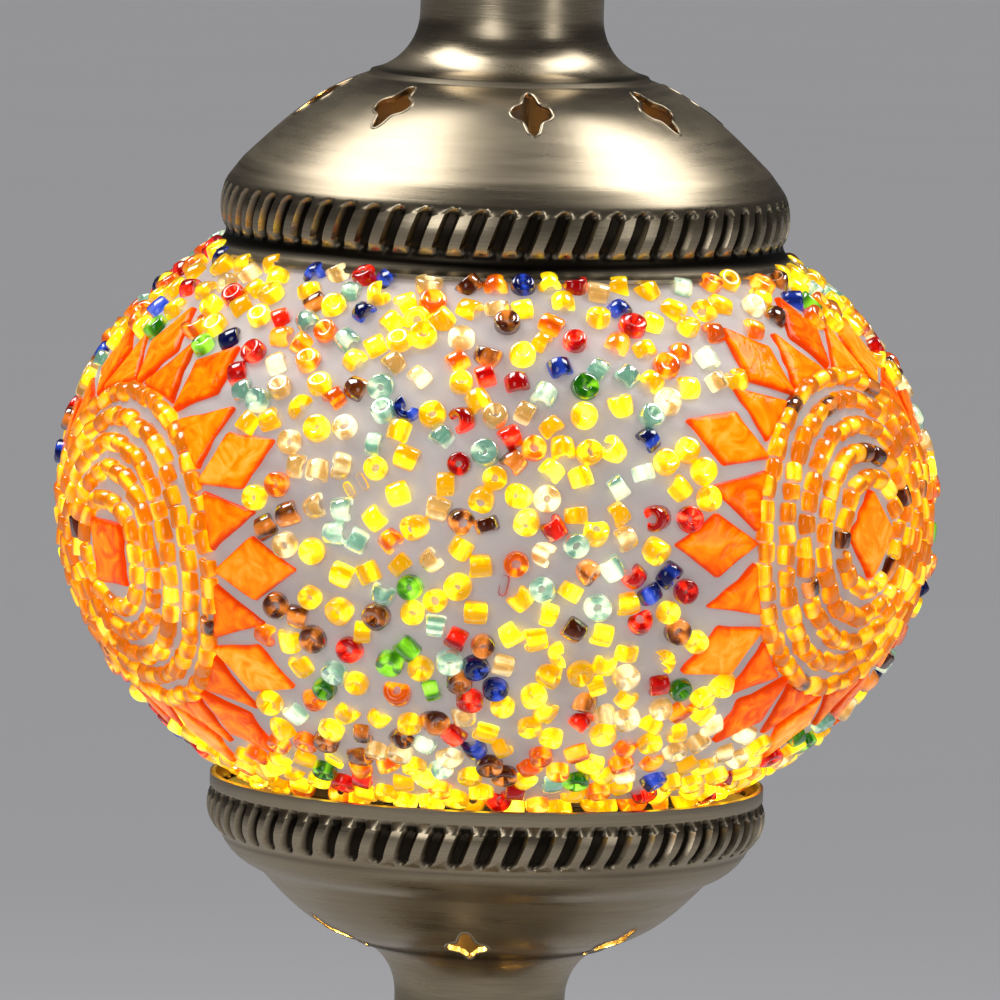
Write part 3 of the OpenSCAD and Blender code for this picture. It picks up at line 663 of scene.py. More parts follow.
FINISHES = {
    "foot_pad": FELT, "base_plate": PLAIN_STEEL, "base_screws": PLAIN_STEEL,
    "base_weight": CAST_IRON, "weight_nut": PLAIN_STEEL, "cord_inlet": RUBBER,
    "threaded_rod": PLAIN_STEEL, "cup_washer": PLAIN_STEEL, "cup_nut": PLAIN_STEEL,
    "holder_base": BAKELITE, "holder_shell": BAKELITE, "holder_insulator": PORCELAIN,
    "holder_thread": BRIGHT_BRASS, "centre_contact": BRIGHT_BRASS,
    "side_contact": BRIGHT_BRASS, "terminal_screws": BRIGHT_BRASS, "clamp_ring": BAKELITE,
    "seat_plate": PLAIN_STEEL, "seat_gasket": RUBBER, "bulb_cap": NICKEL,
    "bulb_insulator": BLACK_GLASS, "bulb_tip": SOLDER, "bulb_glass": BULB_GLASS,
    "bulb_stem": CLEAR_GLASS, "bulb_filaments": FILAMENT, "glass_globe": BLOWN_GLASS,
    "cap_gasket": RUBBER, "cap_plate": PLAIN_STEEL, "cap_stud": PLAIN_STEEL,
    "cap_nut": PLAIN_STEEL}

MATERIALS: dict[str, bpy.types.Material] = {}


def dress(piece: bpy.types.Object, finish: Finish) -> None:
    """Gives a piece one finish, building its material the first time."""
    if finish.name not in MATERIALS:
        MATERIALS[finish.name] = finish.make()
    piece.data.materials.clear()
    piece.data.materials.append(MATERIALS[finish.name])


def report(piece: bpy.types.Object, body: str, slot: str, *nodes: str) -> bpy.types.Object:
    """Joins a finished piece to its body, and logs it.

    Args:
        piece: The piece, in its place.
        body: The CAD body it moves with.
        slot: The material slot in the record that the piece matches; not used.
        *nodes: CAD nodes that it stands for.

    Returns:
        The piece.
    """
    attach(piece, body)
    if nodes:
        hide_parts(*nodes)
    LOG.info("%s: %d faces, on %s", piece.name, len(piece.data.polygons), body)
    return piece


# ---------------------------------------------------------------- spun bells

# Sizes in millimetres.
BAND_MARGIN = 1.2   # how far the close rows of a bell's mesh reach past its flutes
FLUTED_GAP = 0.5    # greatest gap between those rows
PLAIN_GAP = 2.4     # greatest gap between the other rows
BURR_WIDTH = 0.24   # half the width of the burr round a star
BURR_HEIGHT = 0.14  # half its height


@dataclass
class StarRow:
    """A row of star-shaped openings about a bell.

    Attributes:
        radius: Distance of a star's middle from the axis, in millimetres.
        height: Height of its middle above the bell's rim.
        slope_deg: Fall of the bell's surface there.
        count: Number of stars.
        turn_deg: Direction of the first star, from the front towards +X.
        width: Width of a star.
        length: Length of a star down the slope.
    """

    radius: float
    height: float
    slope_deg: float
    count: int
    turn_deg: float
    width: float = 6.1
    length: float = 10.4

    def outline(self, grow: float = 0.0, steps: int = 48) -> np.ndarray:
        """Returns the star's points on its own plane, down the slope and across it."""
        turn = np.arange(steps) * 2 * math.pi / steps
        reach = 0.81 + 0.19 * np.cos(4 * turn)
        return np.column_stack([(self.length / 2 * reach + grow) * np.cos(turn),
                                (self.width / 2 * reach + grow) * np.sin(turn)])


@dataclass
class SpunBell:
    """A bell spun from brass sheet, with slanted flutes and star openings.

    Attributes:
        node: The CAD node that it replaces.
        body: The CAD body that it moves with.
        outline: Radius and height of its skin from rim to neck, from its rim upwards.
        hole: Radius of the hole in the end of its neck.
        band: Heights between which the flutes are pressed.
        stars: The star openings.
        upside_down: Whether the rim is at the top.
        sheet: Thickness of the brass.
        flutes: Number of flutes.
        lean_deg: Lean of a flute from the upright.
        groove: Width of a groove between two flutes.
        depth: Depth of a groove.
        patina: Heights between which the brass is painted darker, as shade in its creases, in the
            flare under the cap's flutes and over the cup's underside, and how dark, 0 to 1.
    """

    node: str
    body: str
    outline: Outline
    hole: float
    band: tuple[float, float]
    stars: StarRow
    upside_down: bool = False
    sheet: float = 0.8
    flutes: int = 64
    lean_deg: float = 21.0
    groove: float = 2.3
    depth: float = 0.9
    patina: tuple[tuple[float, float, float], ...] = ()
    rim_z: float = field(init=False)
    sense: int = field(init=False)
    shade_and_patina: list[np.ndarray] = field(init=False, default_factory=list)

    def __post_init__(self) -> None:
        """Reads the rim's height from the frame."""
        low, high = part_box(self.node)
        self.rim_z = (high.z if self.upside_down else low.z) / MM
        self.sense = -1 if self.upside_down else 1

    def pressed(self, across: np.ndarray, height: np.ndarray) -> np.ndarray:
        """Returns how far the sheet is pressed in, from 0 to 1.

        Args:
            across: Distance from the middle of the nearest groove.
            height: Height above the rim.

        Returns:
            1 at the bottom of a groove, 0 on a flute.
        """
        low, high = self.band
        half = self.groove / 2
        past = np.maximum(np.maximum(height - (high - half), (low - half) - height), 0.0)
        away = np.hypot(across, past)
        return 1.0 - smooth(half - 0.5, half + 0.1, away)

    def column_shares(self) -> np.ndarray:
        """Returns where a flute's columns lie, in shares of its width.

        They lie closest at the groove's edge.
        """
        width = 2 * math.pi * max(radius for radius, _ in self.outline) / self.flutes
        edge = (self.groove / 2 - 0.2) / width
        near = [0.0, edge - 0.3 / width, edge, edge + 0.3 / width]
        return np.array(near + [0.5] + [1.0 - share for share in near[:0:-1]])

    def rows(self) -> tuple[np.ndarray, np.ndarray]:
        """Returns the outer and inner rows of the mesh as radius and height above the rim."""
        low, high = self.band
        skin = [np.array(self.outline[0], float)]
        for target in self.outline[1:]:
            start, end = skin[-1], np.array(target, float)
            fluted = low - BAND_MARGIN < (start[1] + end[1]) / 2 < high + BAND_MARGIN
            gap = FLUTED_GAP if fluted else PLAIN_GAP
            count = max(1, math.ceil(np.linalg.norm(end - start) / gap))
            skin += [start + (end - start) * i / count for i in range(1, count + 1)]
        outer = np.vstack([skin, [[self.hole, skin[-1][1]]]])
        return outer, inset(outer, self.sheet)

    def grid(self, rows: np.ndarray, depth: float) -> np.ndarray:
        """Returns the points of one side of the sheet, a row of columns for each outline point."""
        low, high = self.band
        radius, height = rows[:, :1], rows[:, 1:]
        widest = radius.max()
        lean = self.sense * math.tan(math.radians(self.lean_deg))
        shear = lean * (np.clip(height, low - 1.0, high + 1.0) - (low + high) / 2) / widest
        places = (np.arange(self.flutes)[:, None] + self.column_shares()).ravel()
        turn = places * 2 * math.pi / self.flutes + shear
        across = (places - np.round(places)) * (2 * math.pi * radius / self.flutes)
        pressed = np.where(radius > widest * 0.8, self.pressed(across, height), 0.0)
        # Painted shade: bands of height darkened where creases and overhangs shade the brass and
        # where it mirrors the shaded floor.
        painted_shade = sum(dark * (smooth(start, start + 0.5, height) - smooth(end - 0.5, end, height))
                   for start, end, dark in self.patina)
        # Painted shade with some patina: the groove's press depth and the height bands go into the
        # brass's shade mark.
        self.shade_and_patina.append(np.clip(pressed + painted_shade, 0.0, 1.0).ravel())
        return around_axis(radius - pressed * depth, turn, self.sense * height + self.rim_z)

    def sheet_mesh(self) -> bpy.types.Object:
        """Builds the fluted sheet, closed all round, before its stars are cut."""
        outer, inner = self.rows()
        outside = self.grid(outer, self.depth)
        inside = self.grid(inner[::-1], self.depth * 0.9)
        # Painted shade: the inner side of the sheet is darkened by half, as the unlit inside of the
        # bell.
        self.shade_and_patina[-1] = np.full(self.shade_and_patina[-1].shape, 0.5)
        rim = (outside[0] + inside[-1]) / 2
        rim[:, 2] -= 0.2 * self.sense
        points = np.vstack([outside, inside, rim[None]])
        rows, columns = points.shape[:2]
        faces = ring_faces(rows, columns)
        if self.upside_down:
            faces = faces[:, ::-1]
        skin = add_mesh(self.node + "_skin", points.reshape(-1, 3) * MM, faces, 50.0)
        layer = skin.data.attributes.new(SHADE_AND_PATINA, "FLOAT", "POINT")
        marks = np.concatenate(self.shade_and_patina + [np.zeros(columns)])
        layer.data.foreach_set("value", marks.astype(np.float32))
        return skin

    def place(self, index: int, down: np.ndarray, across: np.ndarray, out: np.ndarray | float
              ) -> np.ndarray:
        """Moves points from a star's own plane to the lamp.

        Args:
            index: Which star.
            down: Distance down the slope.
            across: Distance across the slope.
            out: Distance out of the surface.

        Returns:
            The points in millimetres.
        """
        star = self.stars
        slope = math.radians(star.slope_deg)
        turn = math.radians(star.turn_deg + index * 360.0 / star.count)
        radius = star.radius + down * math.cos(slope) + out * math.sin(slope)
        height = self.sense * (star.height - down * math.sin(slope) + out * math.cos(slope))
        x = radius * math.sin(turn) + across * math.cos(turn)
        y = -radius * math.cos(turn) + across * math.sin(turn)
        return np.column_stack([x, y, height + self.rim_z])

    def cutters(self) -> bpy.types.Object:
        """Builds the punches that cut the stars."""
        vertices, faces = [], []
        down, across = self.stars.outline().T
        count = len(down)
        for i in range(self.stars.count):
            start = 2 * count * i
            vertices += [self.place(i, down, across, out) for out in (-4.0, 4.0)]
            faces += (grid_faces(2, count) + start).tolist()
            faces += [list(range(start, start + count))[::-1],
                      list(range(start + count, start + 2 * count))]
        if self.upside_down:
            faces = [face[::-1] for face in faces]
        return add_mesh(self.node + "_punch", np.vstack(vertices) * MM, faces)

    def height_of_skin(self, radius: np.ndarray) -> np.ndarray:
        """Returns the height above the rim of the dome's skin at a radius."""
        path = np.array(self.outline)
        start = int(np.argmax(path[:, 1] > self.stars.height - self.stars.length))
        dome = path[start:][::-1]
        return np.interp(radius, dome[:, 0], dome[:, 1])

    def burrs(self) -> tuple[np.ndarray, np.ndarray]:
        """Returns the points and faces of the raised edges that the punch leaves at each star."""
        shape = self.stars.outline(grow=0.1, steps=64)
        count, sides = len(shape), 8
        ahead = unit(np.roll(shape, -1, axis=0) - np.roll(shape, 1, axis=0))
        side = np.column_stack([ahead[:, 1], -ahead[:, 0]])
        slope = math.radians(self.stars.slope_deg)
        points, faces = [], []
        for i in range(self.stars.count):
            for k in range(sides):
                angle = 2 * math.pi * k / sides
                down, across = (shape + side * BURR_WIDTH * math.cos(angle)).T
                radius = np.hypot(self.stars.radius + down * math.cos(slope), across)
                flat = self.stars.height - down * math.sin(slope)
                lift = (self.height_of_skin(radius) - flat) * math.cos(slope)
                points.append(self.place(i, down, across, lift + BURR_HEIGHT * math.sin(angle)))
            faces.append(ring_faces(sides, count) + i * sides * count)
        return np.vstack(points), np.vstack(faces)

    def build(self) -> bpy.types.Object:
        """Builds the bell, cuts its stars and dresses it."""
        skin = self.sheet_mesh()
        punch = self.cutters()
        cut = skin.modifiers.new("stars", "BOOLEAN")
        cut.operation = "DIFFERENCE"
        cut.solver = "EXACT"
        cut.object = punch
        bpy.context.view_layer.update()
        mesh = bpy.data.meshes.new_from_object(
            skin.evaluated_get(bpy.context.evaluated_depsgraph_get()))
        bpy.data.objects.remove(skin)
        bpy.data.objects.remove(punch)
        points, faces = self.burrs()
        work = bmesh.new()
        work.from_mesh(mesh)
        added = [work.verts.new(Vector(p * MM)) for p in points]
        for face in faces:
            work.faces.new([added[k] for k in face])
        work.to_mesh(mesh)
        work.free()
        bell = add_object(self.node + "_fluted", mesh, 50.0)
        dress(bell, BRUSHED_BRASS)
        return report(bell, self.body, "brushed_brass", self.node)


def cap_bell() -> SpunBell:
    """Returns the cap, its outline worked out from the lip's radius and the neck's."""
    low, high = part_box("cap_bell")
    lip, top = high.x / MM, (high.z - low.z) / MM
    neck = 13.4
    shoulder = (lip - 5, 14.0)
    dome_end = (neck + 7.2, top - 15.6)
    waist = (lip - 2.3, 3.2)
    outline = [(lip, 0.0), (lip, 0.5)]
    bend(outline, (lip - 1.4, 1.1), (lip - 2.3, 1.9), waist)
    bend(outline, (lip - 1, 4.6), (lip - 1, 9), (lip - 2.6, 11), 12)
    bend(outline, (lip - 3.4, 12), (lip - 4.2, 13.3), shoulder, 4)
    bend(outline, (lip - 9, 17.8), (dome_end[0] + 7.9, dome_end[1] - 2.6), dome_end, 24)
    outline.append((dome_end[0] - 0.3, dome_end[1] + 0.5))
    bend(outline, (dome_end[0] - 4, dome_end[1] + 1.3), (neck, top - 11), (neck, top - 6.5), 14)
    outline += [(neck, top)]
    return SpunBell("cap_bell", "cap", outline, STUD_HOLE, (5.5, 10.1),
                    StarRow(lip - 15.9, 23.0, 33.0, 8, 7.0),
                    patina=((0.9, 3.8, 1.0), (26.0, 27.8, 0.8)))


def cup_bell() -> SpunBell:
    """Returns the cup, its outline worked out from the rim's radius and the neck's."""
    low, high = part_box("cup_bell")
    rim, top = 40.6, (high.z - low.z) / MM
    neck = 12.5
    shoulder = (rim - 7.6, 13.9)
    dome_end = (neck + 6.3, top - 15.8)
    outline = [(rim, 0.0), (rim, 1.8), (rim - 0.25, 2.1)]
    bend(outline, (rim + 0.9, 4.2), (rim + 0.5, 7), (rim - 1.7, 8.7), 12)
    bend(outline, (rim - 3, 11.6), (rim - 5.1, 12.9), shoulder, 6)
    bend(outline, (rim - 11.3, 17.8), (dome_end[0] + 6.8, dome_end[1] - 1.7), dome_end, 24)
    outline.append((dome_end[0] - 0.3, dome_end[1] + 0.5))
    bend(outline, (dome_end[0] - 3.4, dome_end[1] + 0.9), (neck, top - 11.7), (neck, top - 7.3), 14)
    outline += [(neck, top)]
    return SpunBell("cup_bell", "base", outline, ROD_HOLE, (4.4, 8.5),
                    StarRow(rim - 17.6, top - 17.5, 28.0, 6, -5.0), upside_down=True,
                    patina=((2.0, 3.0, 0.5), (8.8, 9.9, 0.4), (9.2, top, 0.15), (23.4, 24.9, 0.6)))


def foot_bell() -> SpunBell:
    """Returns the foot, its outline worked out from its rim, its plinth and its neck."""
    low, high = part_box("foot_bell")
    top, rim, neck, plinth = (high.z - low.z) / MM, 55.0, 12.5, 16.7
    shoulder = (rim - 7.5, plinth + 12.5)
    dome_end = (neck + 9.5, top - 19)
    wall = rim - 1.4
    outline = [(rim - 5, 0.0), (rim - 1, 0.0)]
    bend(outline, (rim, 0.0), (rim, 1.6), (wall + 0.2, 2.4), 8)
    outline += [(wall, plinth)]
    bend(outline, (rim, plinth + 1.4), (rim - 0.2, plinth + 6.4), (rim - 2.8, plinth + 8.4), 12)
    bend(outline, (rim - 4, plinth + 10.6), (rim - 5.4, plinth + 11.7), shoulder, 6)
    bend(outline, (shoulder[0] - 7, shoulder[1] + 8), (dome_end[0] + 13, dome_end[1] - 8),
         dome_end, 24)
    bend(outline, (dome_end[0] - 5.5, dome_end[1] + 3), (neck, top - 11), (neck, top - 5), 14)
    outline += [(neck, top)]
    return SpunBell("foot_bell", "base", outline, ROD_HOLE, (plinth + 1.0, plinth + 7.4),
                    StarRow(rim - 17.5, top - 34.4, 54.0, 8, 0.0, 7.3, 12.5),
                    patina=((plinth - 0.7, plinth + 0.6, 0.8), (plinth + 8.2, plinth + 9.4, 0.5),
                            (top - 19.4, top - 17.6, 0.7)))


# ---------------------------------------------------------------- globe

# Sizes in millimetres.
THICKEST_TILE = 3.0    # greatest thickness of a tile
TILE_REACH = 12.0      # no part of a tile is further than this from its middle
TILE_SPOTS = (0.04, 0.25, 0.5, 0.75, 0.96)  # points along a tile's side, as shares of it
TILE_EDGE = (          # ground edge of a tile, from its back: rise, distance in and light
    (-0.55, 0.0, 0.25), (-0.18, 0.16, 0.5), (0.02, 0.55, 0.85), (0.10, 1.6, 1.0))
BEAD_AROUND = 18       # points about a bead's hole
BEAD_SECTION = 10      # points about its rounded section
BEAD_TOP = 3.2         # how far most beads reach above the glass
TILTED_HEIGHT = 1.5    # height of a tilted bead's middle above the glass
BEAD_TRIES = 60000     # spots tried for strewn beads
PLASTER_GRID = (150, 520)  # rows and columns of the plaster's outer side
PLASTER_WAVES = 26     # waves laid over each other in the plaster
WAVE_HEIGHT = 0.022    # half the height of each


@dataclass
class Ellipsoid:
    """The blown glass's outer surface, read from the frame.

    Attributes:
        centre_z: Height of its centre, in millimetres.
        wide: Its radius about the axis.
        tall: Its half height, if its poles were closed.
    """

    centre_z: float
    wide: float
    tall: float

    @classmethod
    def of_glass(cls) -> "Ellipsoid":
        """Reads the blown glass's size from its CAD node."""
        low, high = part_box("glass_globe")
        points = node_points("glass_globe")
        rim = points[points[:, 2] > high.z / MM - 0.01]
        mouth = np.hypot(rim[:, 0], rim[:, 1]).max()
        wide = high.x / MM
        half = (high.z - low.z) / 2 / MM
        return cls((low.z + high.z) / 2 / MM, wide, half / math.sqrt(1 - (mouth / wide) ** 2))

    @property
    def centre(self) -> np.ndarray:
        """Returns the centre, in millimetres."""
        return np.array([0.0, 0.0, self.centre_z])

    def grown(self, by: float) -> "Ellipsoid":
        """Returns the same shape, larger by a thickness."""
        return Ellipsoid(self.centre_z, self.wide + by, self.tall + by)

    def at(self, direction: np.ndarray) -> np.ndarray:
        """Returns the surface points in the given directions from the centre."""
        flat = (direction[..., 0] ** 2 + direction[..., 1] ** 2) / self.wide ** 2
        scale = 1.0 / np.sqrt(flat + direction[..., 2] ** 2 / self.tall ** 2)
        return direction * scale[..., None] + self.centre

    def normal(self, points: np.ndarray) -> np.ndarray:
        """Returns the outward normals at surface points."""
        away = points - self.centre
        return unit(away / np.array([self.wide ** 2, self.wide ** 2, self.tall ** 2]))


@dataclass
class Tile:
    """One cut tile: its outer corners, its middle and its outward direction."""

    corners: np.ndarray
    middle: np.ndarray
    out: np.ndarray
    thickness: float

    @classmethod
    def from_corners(cls, corners: np.ndarray, globe_centre: np.ndarray) -> "Tile":
        """Finds a tile's outer face among the corners of its solid."""
        middle = corners.mean(0)
        pairs = corners[:, None] - corners[None]
        gaps = np.linalg.norm(pairs, axis=2)
        best, out = None, None
        for i, j in zip(*np.nonzero((gaps > 0.0) & (gaps <= THICKEST_TILE))):
            way = pairs[i, j] / gaps[i, j]
            if way @ (middle - globe_centre) <= 0:
                continue
            sides = (corners - middle) @ way
            if np.ptp(np.abs(sides)) < 0.02 and (best is None or gaps[i, j] < best):
                best, out = gaps[i, j], way
        top = corners[(corners - middle) @ out > 0]
        centre = top.mean(0)
        u = unit(np.cross(out, [0.0, 0.0, 1.0]))
        angle = np.arctan2((top - centre) @ np.cross(out, u), (top - centre) @ u)
        return cls(top[np.argsort(angle)], centre, out, best)

    def holds(self, point: np.ndarray, margin: float) -> bool:
        """Says whether a point of the globe lies under the tile or within margin of it."""
        away = point - self.middle
        if away @ away > TILE_REACH ** 2:
            return False
        flat = point - self.out * (away @ self.out)
        for a, b in zip(self.corners, np.roll(self.corners, -1, axis=0)):
            side = unit(np.cross(self.out, b - a))
            if side @ (self.middle - a) < 0:
                side = -side
            if (flat - a) @ side < -margin:
                return False
        return True


@dataclass
class MosaicGlobe:
    """The globe's outer work: tiles, ringed and strewn seed beads, and the plaster between.

    Attributes:
        plaster: Thickness of the plaster over the glass, in millimetres.
        ring_arcs: Distance of each bead ring from its medallion's centre tile.
        ring_pitch: Distance between beads of a ring.
        bead_gap: Least distance between strewn beads.
        seed: Start of the random draws.
    """

    plaster: float = 1.7
    ring_arcs: tuple[float, ...] = (8.0, 12.1, 16.1, 20.1, 24.1)
    ring_pitch: float = 3.15
    bead_gap: float = 3.3
    seed: int = 7
    glass: Ellipsoid = field(init=False)
    tiles: dict[str, list[Tile]] = field(init=False)
    random: np.random.Generator = field(init=False)

    def __post_init__(self) -> None:
        """Reads the glass and the tiles from the frame."""
        self.glass = Ellipsoid.of_glass()
        self.random = np.random.default_rng(self.seed)
        names = [n for n in sorted(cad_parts) if "_tile" in n and n[-1].isdigit()]
        self.tiles = {n: [Tile.from_corners(c, self.glass.centre) for c in node_islands(n)]
                      for n in names}
        low, high = self.limits()
        LOG.info("globe: glass %.1f by %.1f mm, beads from %.1f to %.1f mm",
                 self.glass.wide, self.glass.tall, low, high)

    def limits(self) -> tuple[float, float]:
        """Returns the lowest and highest height of a bead's middle."""
        return (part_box("plaster_coat")[0].z / MM + 0.2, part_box("cap_bell")[0].z / MM - 1.5)

    # -- tiles

    def cut_tile(self, work: bmesh.types.BMesh, layer, tile: Tile) -> None:
        """Adds one bevelled tile with a slightly domed and uneven face to a mesh."""
        tone = self.random.random()
        glow = self.random.uniform(0.55, 1.0)
        centre = tile.middle
        tilt = self.random.normal(0.0, 0.012, 3)
        outline = []
        for a, b in zip(tile.corners, np.roll(tile.corners, -1, axis=0)):
            for share in TILE_SPOTS:
                nick = self.random.normal(0.0, 0.055)
                point = a + (b - a) * share
                outline.append(point + unit(centre - point) * nick)
        toward = centre - np.array(outline)
        reach = np.linalg.norm(toward, axis=1, keepdims=True)
        total = len(outline)
        rings = []
        for rise, inward, core in ((-tile.thickness, 0.0, 0.0),) + TILE_EDGE:
            ring = outline + toward / reach * np.minimum(inward, reach * 0.8)
            ring = ring + tile.out * rise + ((ring - centre) @ tilt)[:, None] * tile.out
            rings.append([work.verts.new(Vector(p * MM)) for p in ring])
            for vertex in rings[-1]:
                vertex[layer] = (tone, core, glow, 1.0)
        middle = work.verts.new(Vector((centre + tile.out * 0.12) * MM))
        middle[layer] = (tone, 1.0, glow, 1.0)
        for low, high in zip(rings, rings[1:]):
            for k in range(total):
                work.faces.new((low[k], low[(k + 1) % total], high[(k + 1) % total], high[k]))
        for k in range(total):
            work.faces.new((rings[-1][k], rings[-1][(k + 1) % total], middle))
        work.faces.new(rings[0][::-1])

    def build_tiles(self) -> None:
        """Builds each CAD tile group again with ground edges."""
        for node, tiles in self.tiles.items():
            work = bmesh.new()
            layer = work.verts.layers.float_color.new(GLASS_MARKS)
            for tile in tiles:
                self.cut_tile(work, layer, tile)
            bmesh.ops.recalc_face_normals(work, faces=work.faces)
            mesh = bpy.data.meshes.new(node + "_cut")
            work.to_mesh(mesh)
            work.free()
            piece = add_object(node + "_cut", mesh, 28.0)
            dress(piece, AMBER_TILE)
            report(piece, "globe", "amber_tile", node)

    # -- beads

    def bead_shape(self, outer: float, hole: float, length: float, sweep: float = 1.0
                   ) -> tuple[np.ndarray, np.ndarray]:
        """Returns the points of a bead about its own Z axis, and how brightly each is lit.

        Args:
            outer: Radius of the bead.
            hole: Radius of its hole.
            length: Length along its hole.
            sweep: Share of a full turn, less than 1 for a broken bead.

        Returns:
            Points, one row a section about the hole, and the light in the glass there.
        """
        rim = np.arange(BEAD_SECTION) * 2 * math.pi / BEAD_SECTION
        middle, half = (outer + hole) / 2, (outer - hole) / 2
        x = middle + half * np.sign(np.cos(rim)) * np.abs(np.cos(rim)) ** 0.6
        z = length / 2 * np.sign(np.sin(rim)) * np.abs(np.sin(rim)) ** 0.4
        count = BEAD_AROUND if sweep >= 1.0 else BEAD_AROUND + 1
        turn = (np.arange(count) * 2 * math.pi * sweep / BEAD_AROUND)[:, None]
        wedge = 1.0 + self.random.uniform(0.0, 0.16) * np.cos(turn)
        points = np.stack([x * np.cos(turn), x * np.sin(turn), z * wedge], axis=-1)
        depth = np.clip((x - hole) / (outer - hole), 0, 1)
        stripe = self.random.random(BEAD_AROUND)
        stripe = 0.5 * stripe + 0.25 * (np.roll(stripe, 1) + np.roll(stripe, -1))
        stripe = stripe[np.arange(count) % BEAD_AROUND]
        core = 0.30 * (1 - depth) + 0.2 + 0.9 * smooth(0.3, 0.75, stripe)[:, None]
        return points, np.clip(core, 0.0, 1.2)

    def set_bead(self, spot: np.ndarray, axis: np.ndarray, out: np.ndarray, size: dict,
                 store: list, glow: float) -> None:
        """Places one bead with its hole along an axis.

        Args:
            spot: Where the bead's middle goes.
            axis: Direction of its hole.
            out: Outward direction of the globe there.
            size: Keyword sizes for bead_shape.
            store: List that the bead is added to.
            glow: Strength of the light through it.
        """
        points, core = self.bead_shape(**size)
        w = unit(axis)
        u = unit(np.cross(w, out if abs(w @ out) < 0.9 else np.array([0.0, 0.0, 1.0])))
        v = np.cross(w, u)
        spin = self.random.uniform(0, 2 * math.pi)
        u, v = u * math.cos(spin) + v * math.sin(spin), v * math.cos(spin) - u * math.sin(spin)
        placed_points = points @ np.stack([u, v, w]) + spot
        store.append((placed_points, core, self.random.random(), glow, "sweep" not in size))

    def make_beads(self, name: str, store: list, finish: Glass) -> None:
        """Joins a list of placed beads into one piece of one colour."""
        vertices, faces, marks = [], [], []
        start = 0
        for points, core, tone, glow, whole in store:
            count, section = core.shape
            ring, across = np.divmod(grid_faces(section + 1, count, closed=whole), count)
            quads = across * section + ring % section
            faces.append(quads[:, ::-1] + start)
            vertices.append(points.reshape(-1, 3))
            light = np.full((core.size, 4), (tone, 0.0, glow, 1.0))
            light[:, 1] = core.ravel()
            marks.append(light)
            start += core.size
        piece = add_mesh(name, np.vstack(vertices) * MM, np.vstack(faces), 60.0)
        mark_glass(piece.data, np.vstack(marks))
        dress(piece, finish)
        report(piece, "globe", "amber_tile")

    def medallion_frames(self) -> list[tuple[np.ndarray, np.ndarray, np.ndarray]]:
        """Returns each medallion's centre direction with its sideways and upward directions."""
        frames = []
        for node in sorted(n for n in self.tiles if n.startswith("centre_tile")):
            centre = unit(self.tiles[node][0].middle - self.glass.centre)
            side = unit(np.cross([0.0, 0.0, 1.0], centre))
            frames.append((centre, side, np.cross(centre, side)))
        return frames

    def ring_beads(self) -> None:
        """Sets the amber beads in rings about each centre tile, with their holes along the ring."""
        amber, brown = [], []
        for centre, side, up in self.medallion_frames():
            for arc in self.ring_arcs:
                count = round(2 * math.pi * arc / self.ring_pitch)
                first = self.random.uniform(0, 2 * math.pi)
                for k in range(count):
                    turn = first + 2 * math.pi * (k + self.random.uniform(-0.08, 0.08)) / count
                    reach = (arc + self.random.normal(0, 0.2)) / (self.glass.wide + BEAD_TOP)
                    way = math.cos(turn) * side + math.sin(turn) * up
                    direction = math.cos(reach) * centre + math.sin(reach) * way
                    point = self.glass.at(direction)
                    out = self.glass.normal(point)
                    along = (np.cross(out, way) + out * self.random.normal(0, 0.10)
                             + way * self.random.normal(0, 0.12))
                    outer = self.random.uniform(1.34, 1.56)
                    size = {"outer": outer, "hole": 0.5, "length": self.random.uniform(2.4, 3.2)}
                    store = brown if self.random.random() < 0.05 else amber
                    self.set_bead(point + out * (BEAD_TOP - 0.05 - outer), along, out, size, store,
                                  self.random.uniform(0.6, 1.0))
        self.make_beads("ring_beads_amber", amber, RING_AMBER)
        self.make_beads("ring_beads_brown", brown, BeadColour.TOPAZ.value)

    def free_spots(self) -> np.ndarray:
        """Returns spots for the strewn beads, clear of tiles, rings and each other."""
        low, high = self.limits()
        frames = self.medallion_frames()
        ring_reach = (self.ring_arcs[-1] + self.bead_gap) / (self.glass.wide + BEAD_TOP)
        tiles = [tile for group in self.tiles.values() for tile in group]
        turns = self.random.uniform(0, 2 * math.pi, BEAD_TRIES)
        rise = self.random.uniform(-1, 1, BEAD_TRIES)
        flat = np.sqrt(1 - rise ** 2)
        directions = np.column_stack([flat * np.cos(turns), flat * np.sin(turns), rise])
        spots = self.glass.at(directions)
        keep = (spots[:, 2] > low) & (spots[:, 2] < high)
        for centre, _, _ in frames:
            keep &= directions @ centre < math.cos(ring_reach)
        chosen: list[np.ndarray] = []
        cells: dict[tuple, list[np.ndarray]] = {}
        for spot in spots[keep]:
            cell = tuple(np.floor(spot / self.bead_gap).astype(int))
            near = [p for dx in (-1, 0, 1) for dy in (-1, 0, 1) for dz in (-1, 0, 1)
                    for p in cells.get((cell[0] + dx, cell[1] + dy, cell[2] + dz), ())]
            if any(((spot - p) ** 2).sum() < self.bead_gap ** 2 for p in near):
                continue
            if any(tile.holds(spot, 1.35) for tile in tiles):
                continue
            cells.setdefault(cell, []).append(spot)
            chosen.append(spot)
        return np.array(chosen)

    def strewn_beads(self) -> None:
        """Strews seed beads of mixed colours and lies over the rest of the globe."""
        stores: dict[BeadColour, list] = {colour: [] for colour in BeadColour}
        colours, shares = list(SHARES), np.array(list(SHARES.values()))
        low, _ = self.limits()
        for spot in self.free_spots():
            out = self.glass.normal(spot)
            colour = colours[self.random.choice(len(colours), p=shares / shares.sum())]
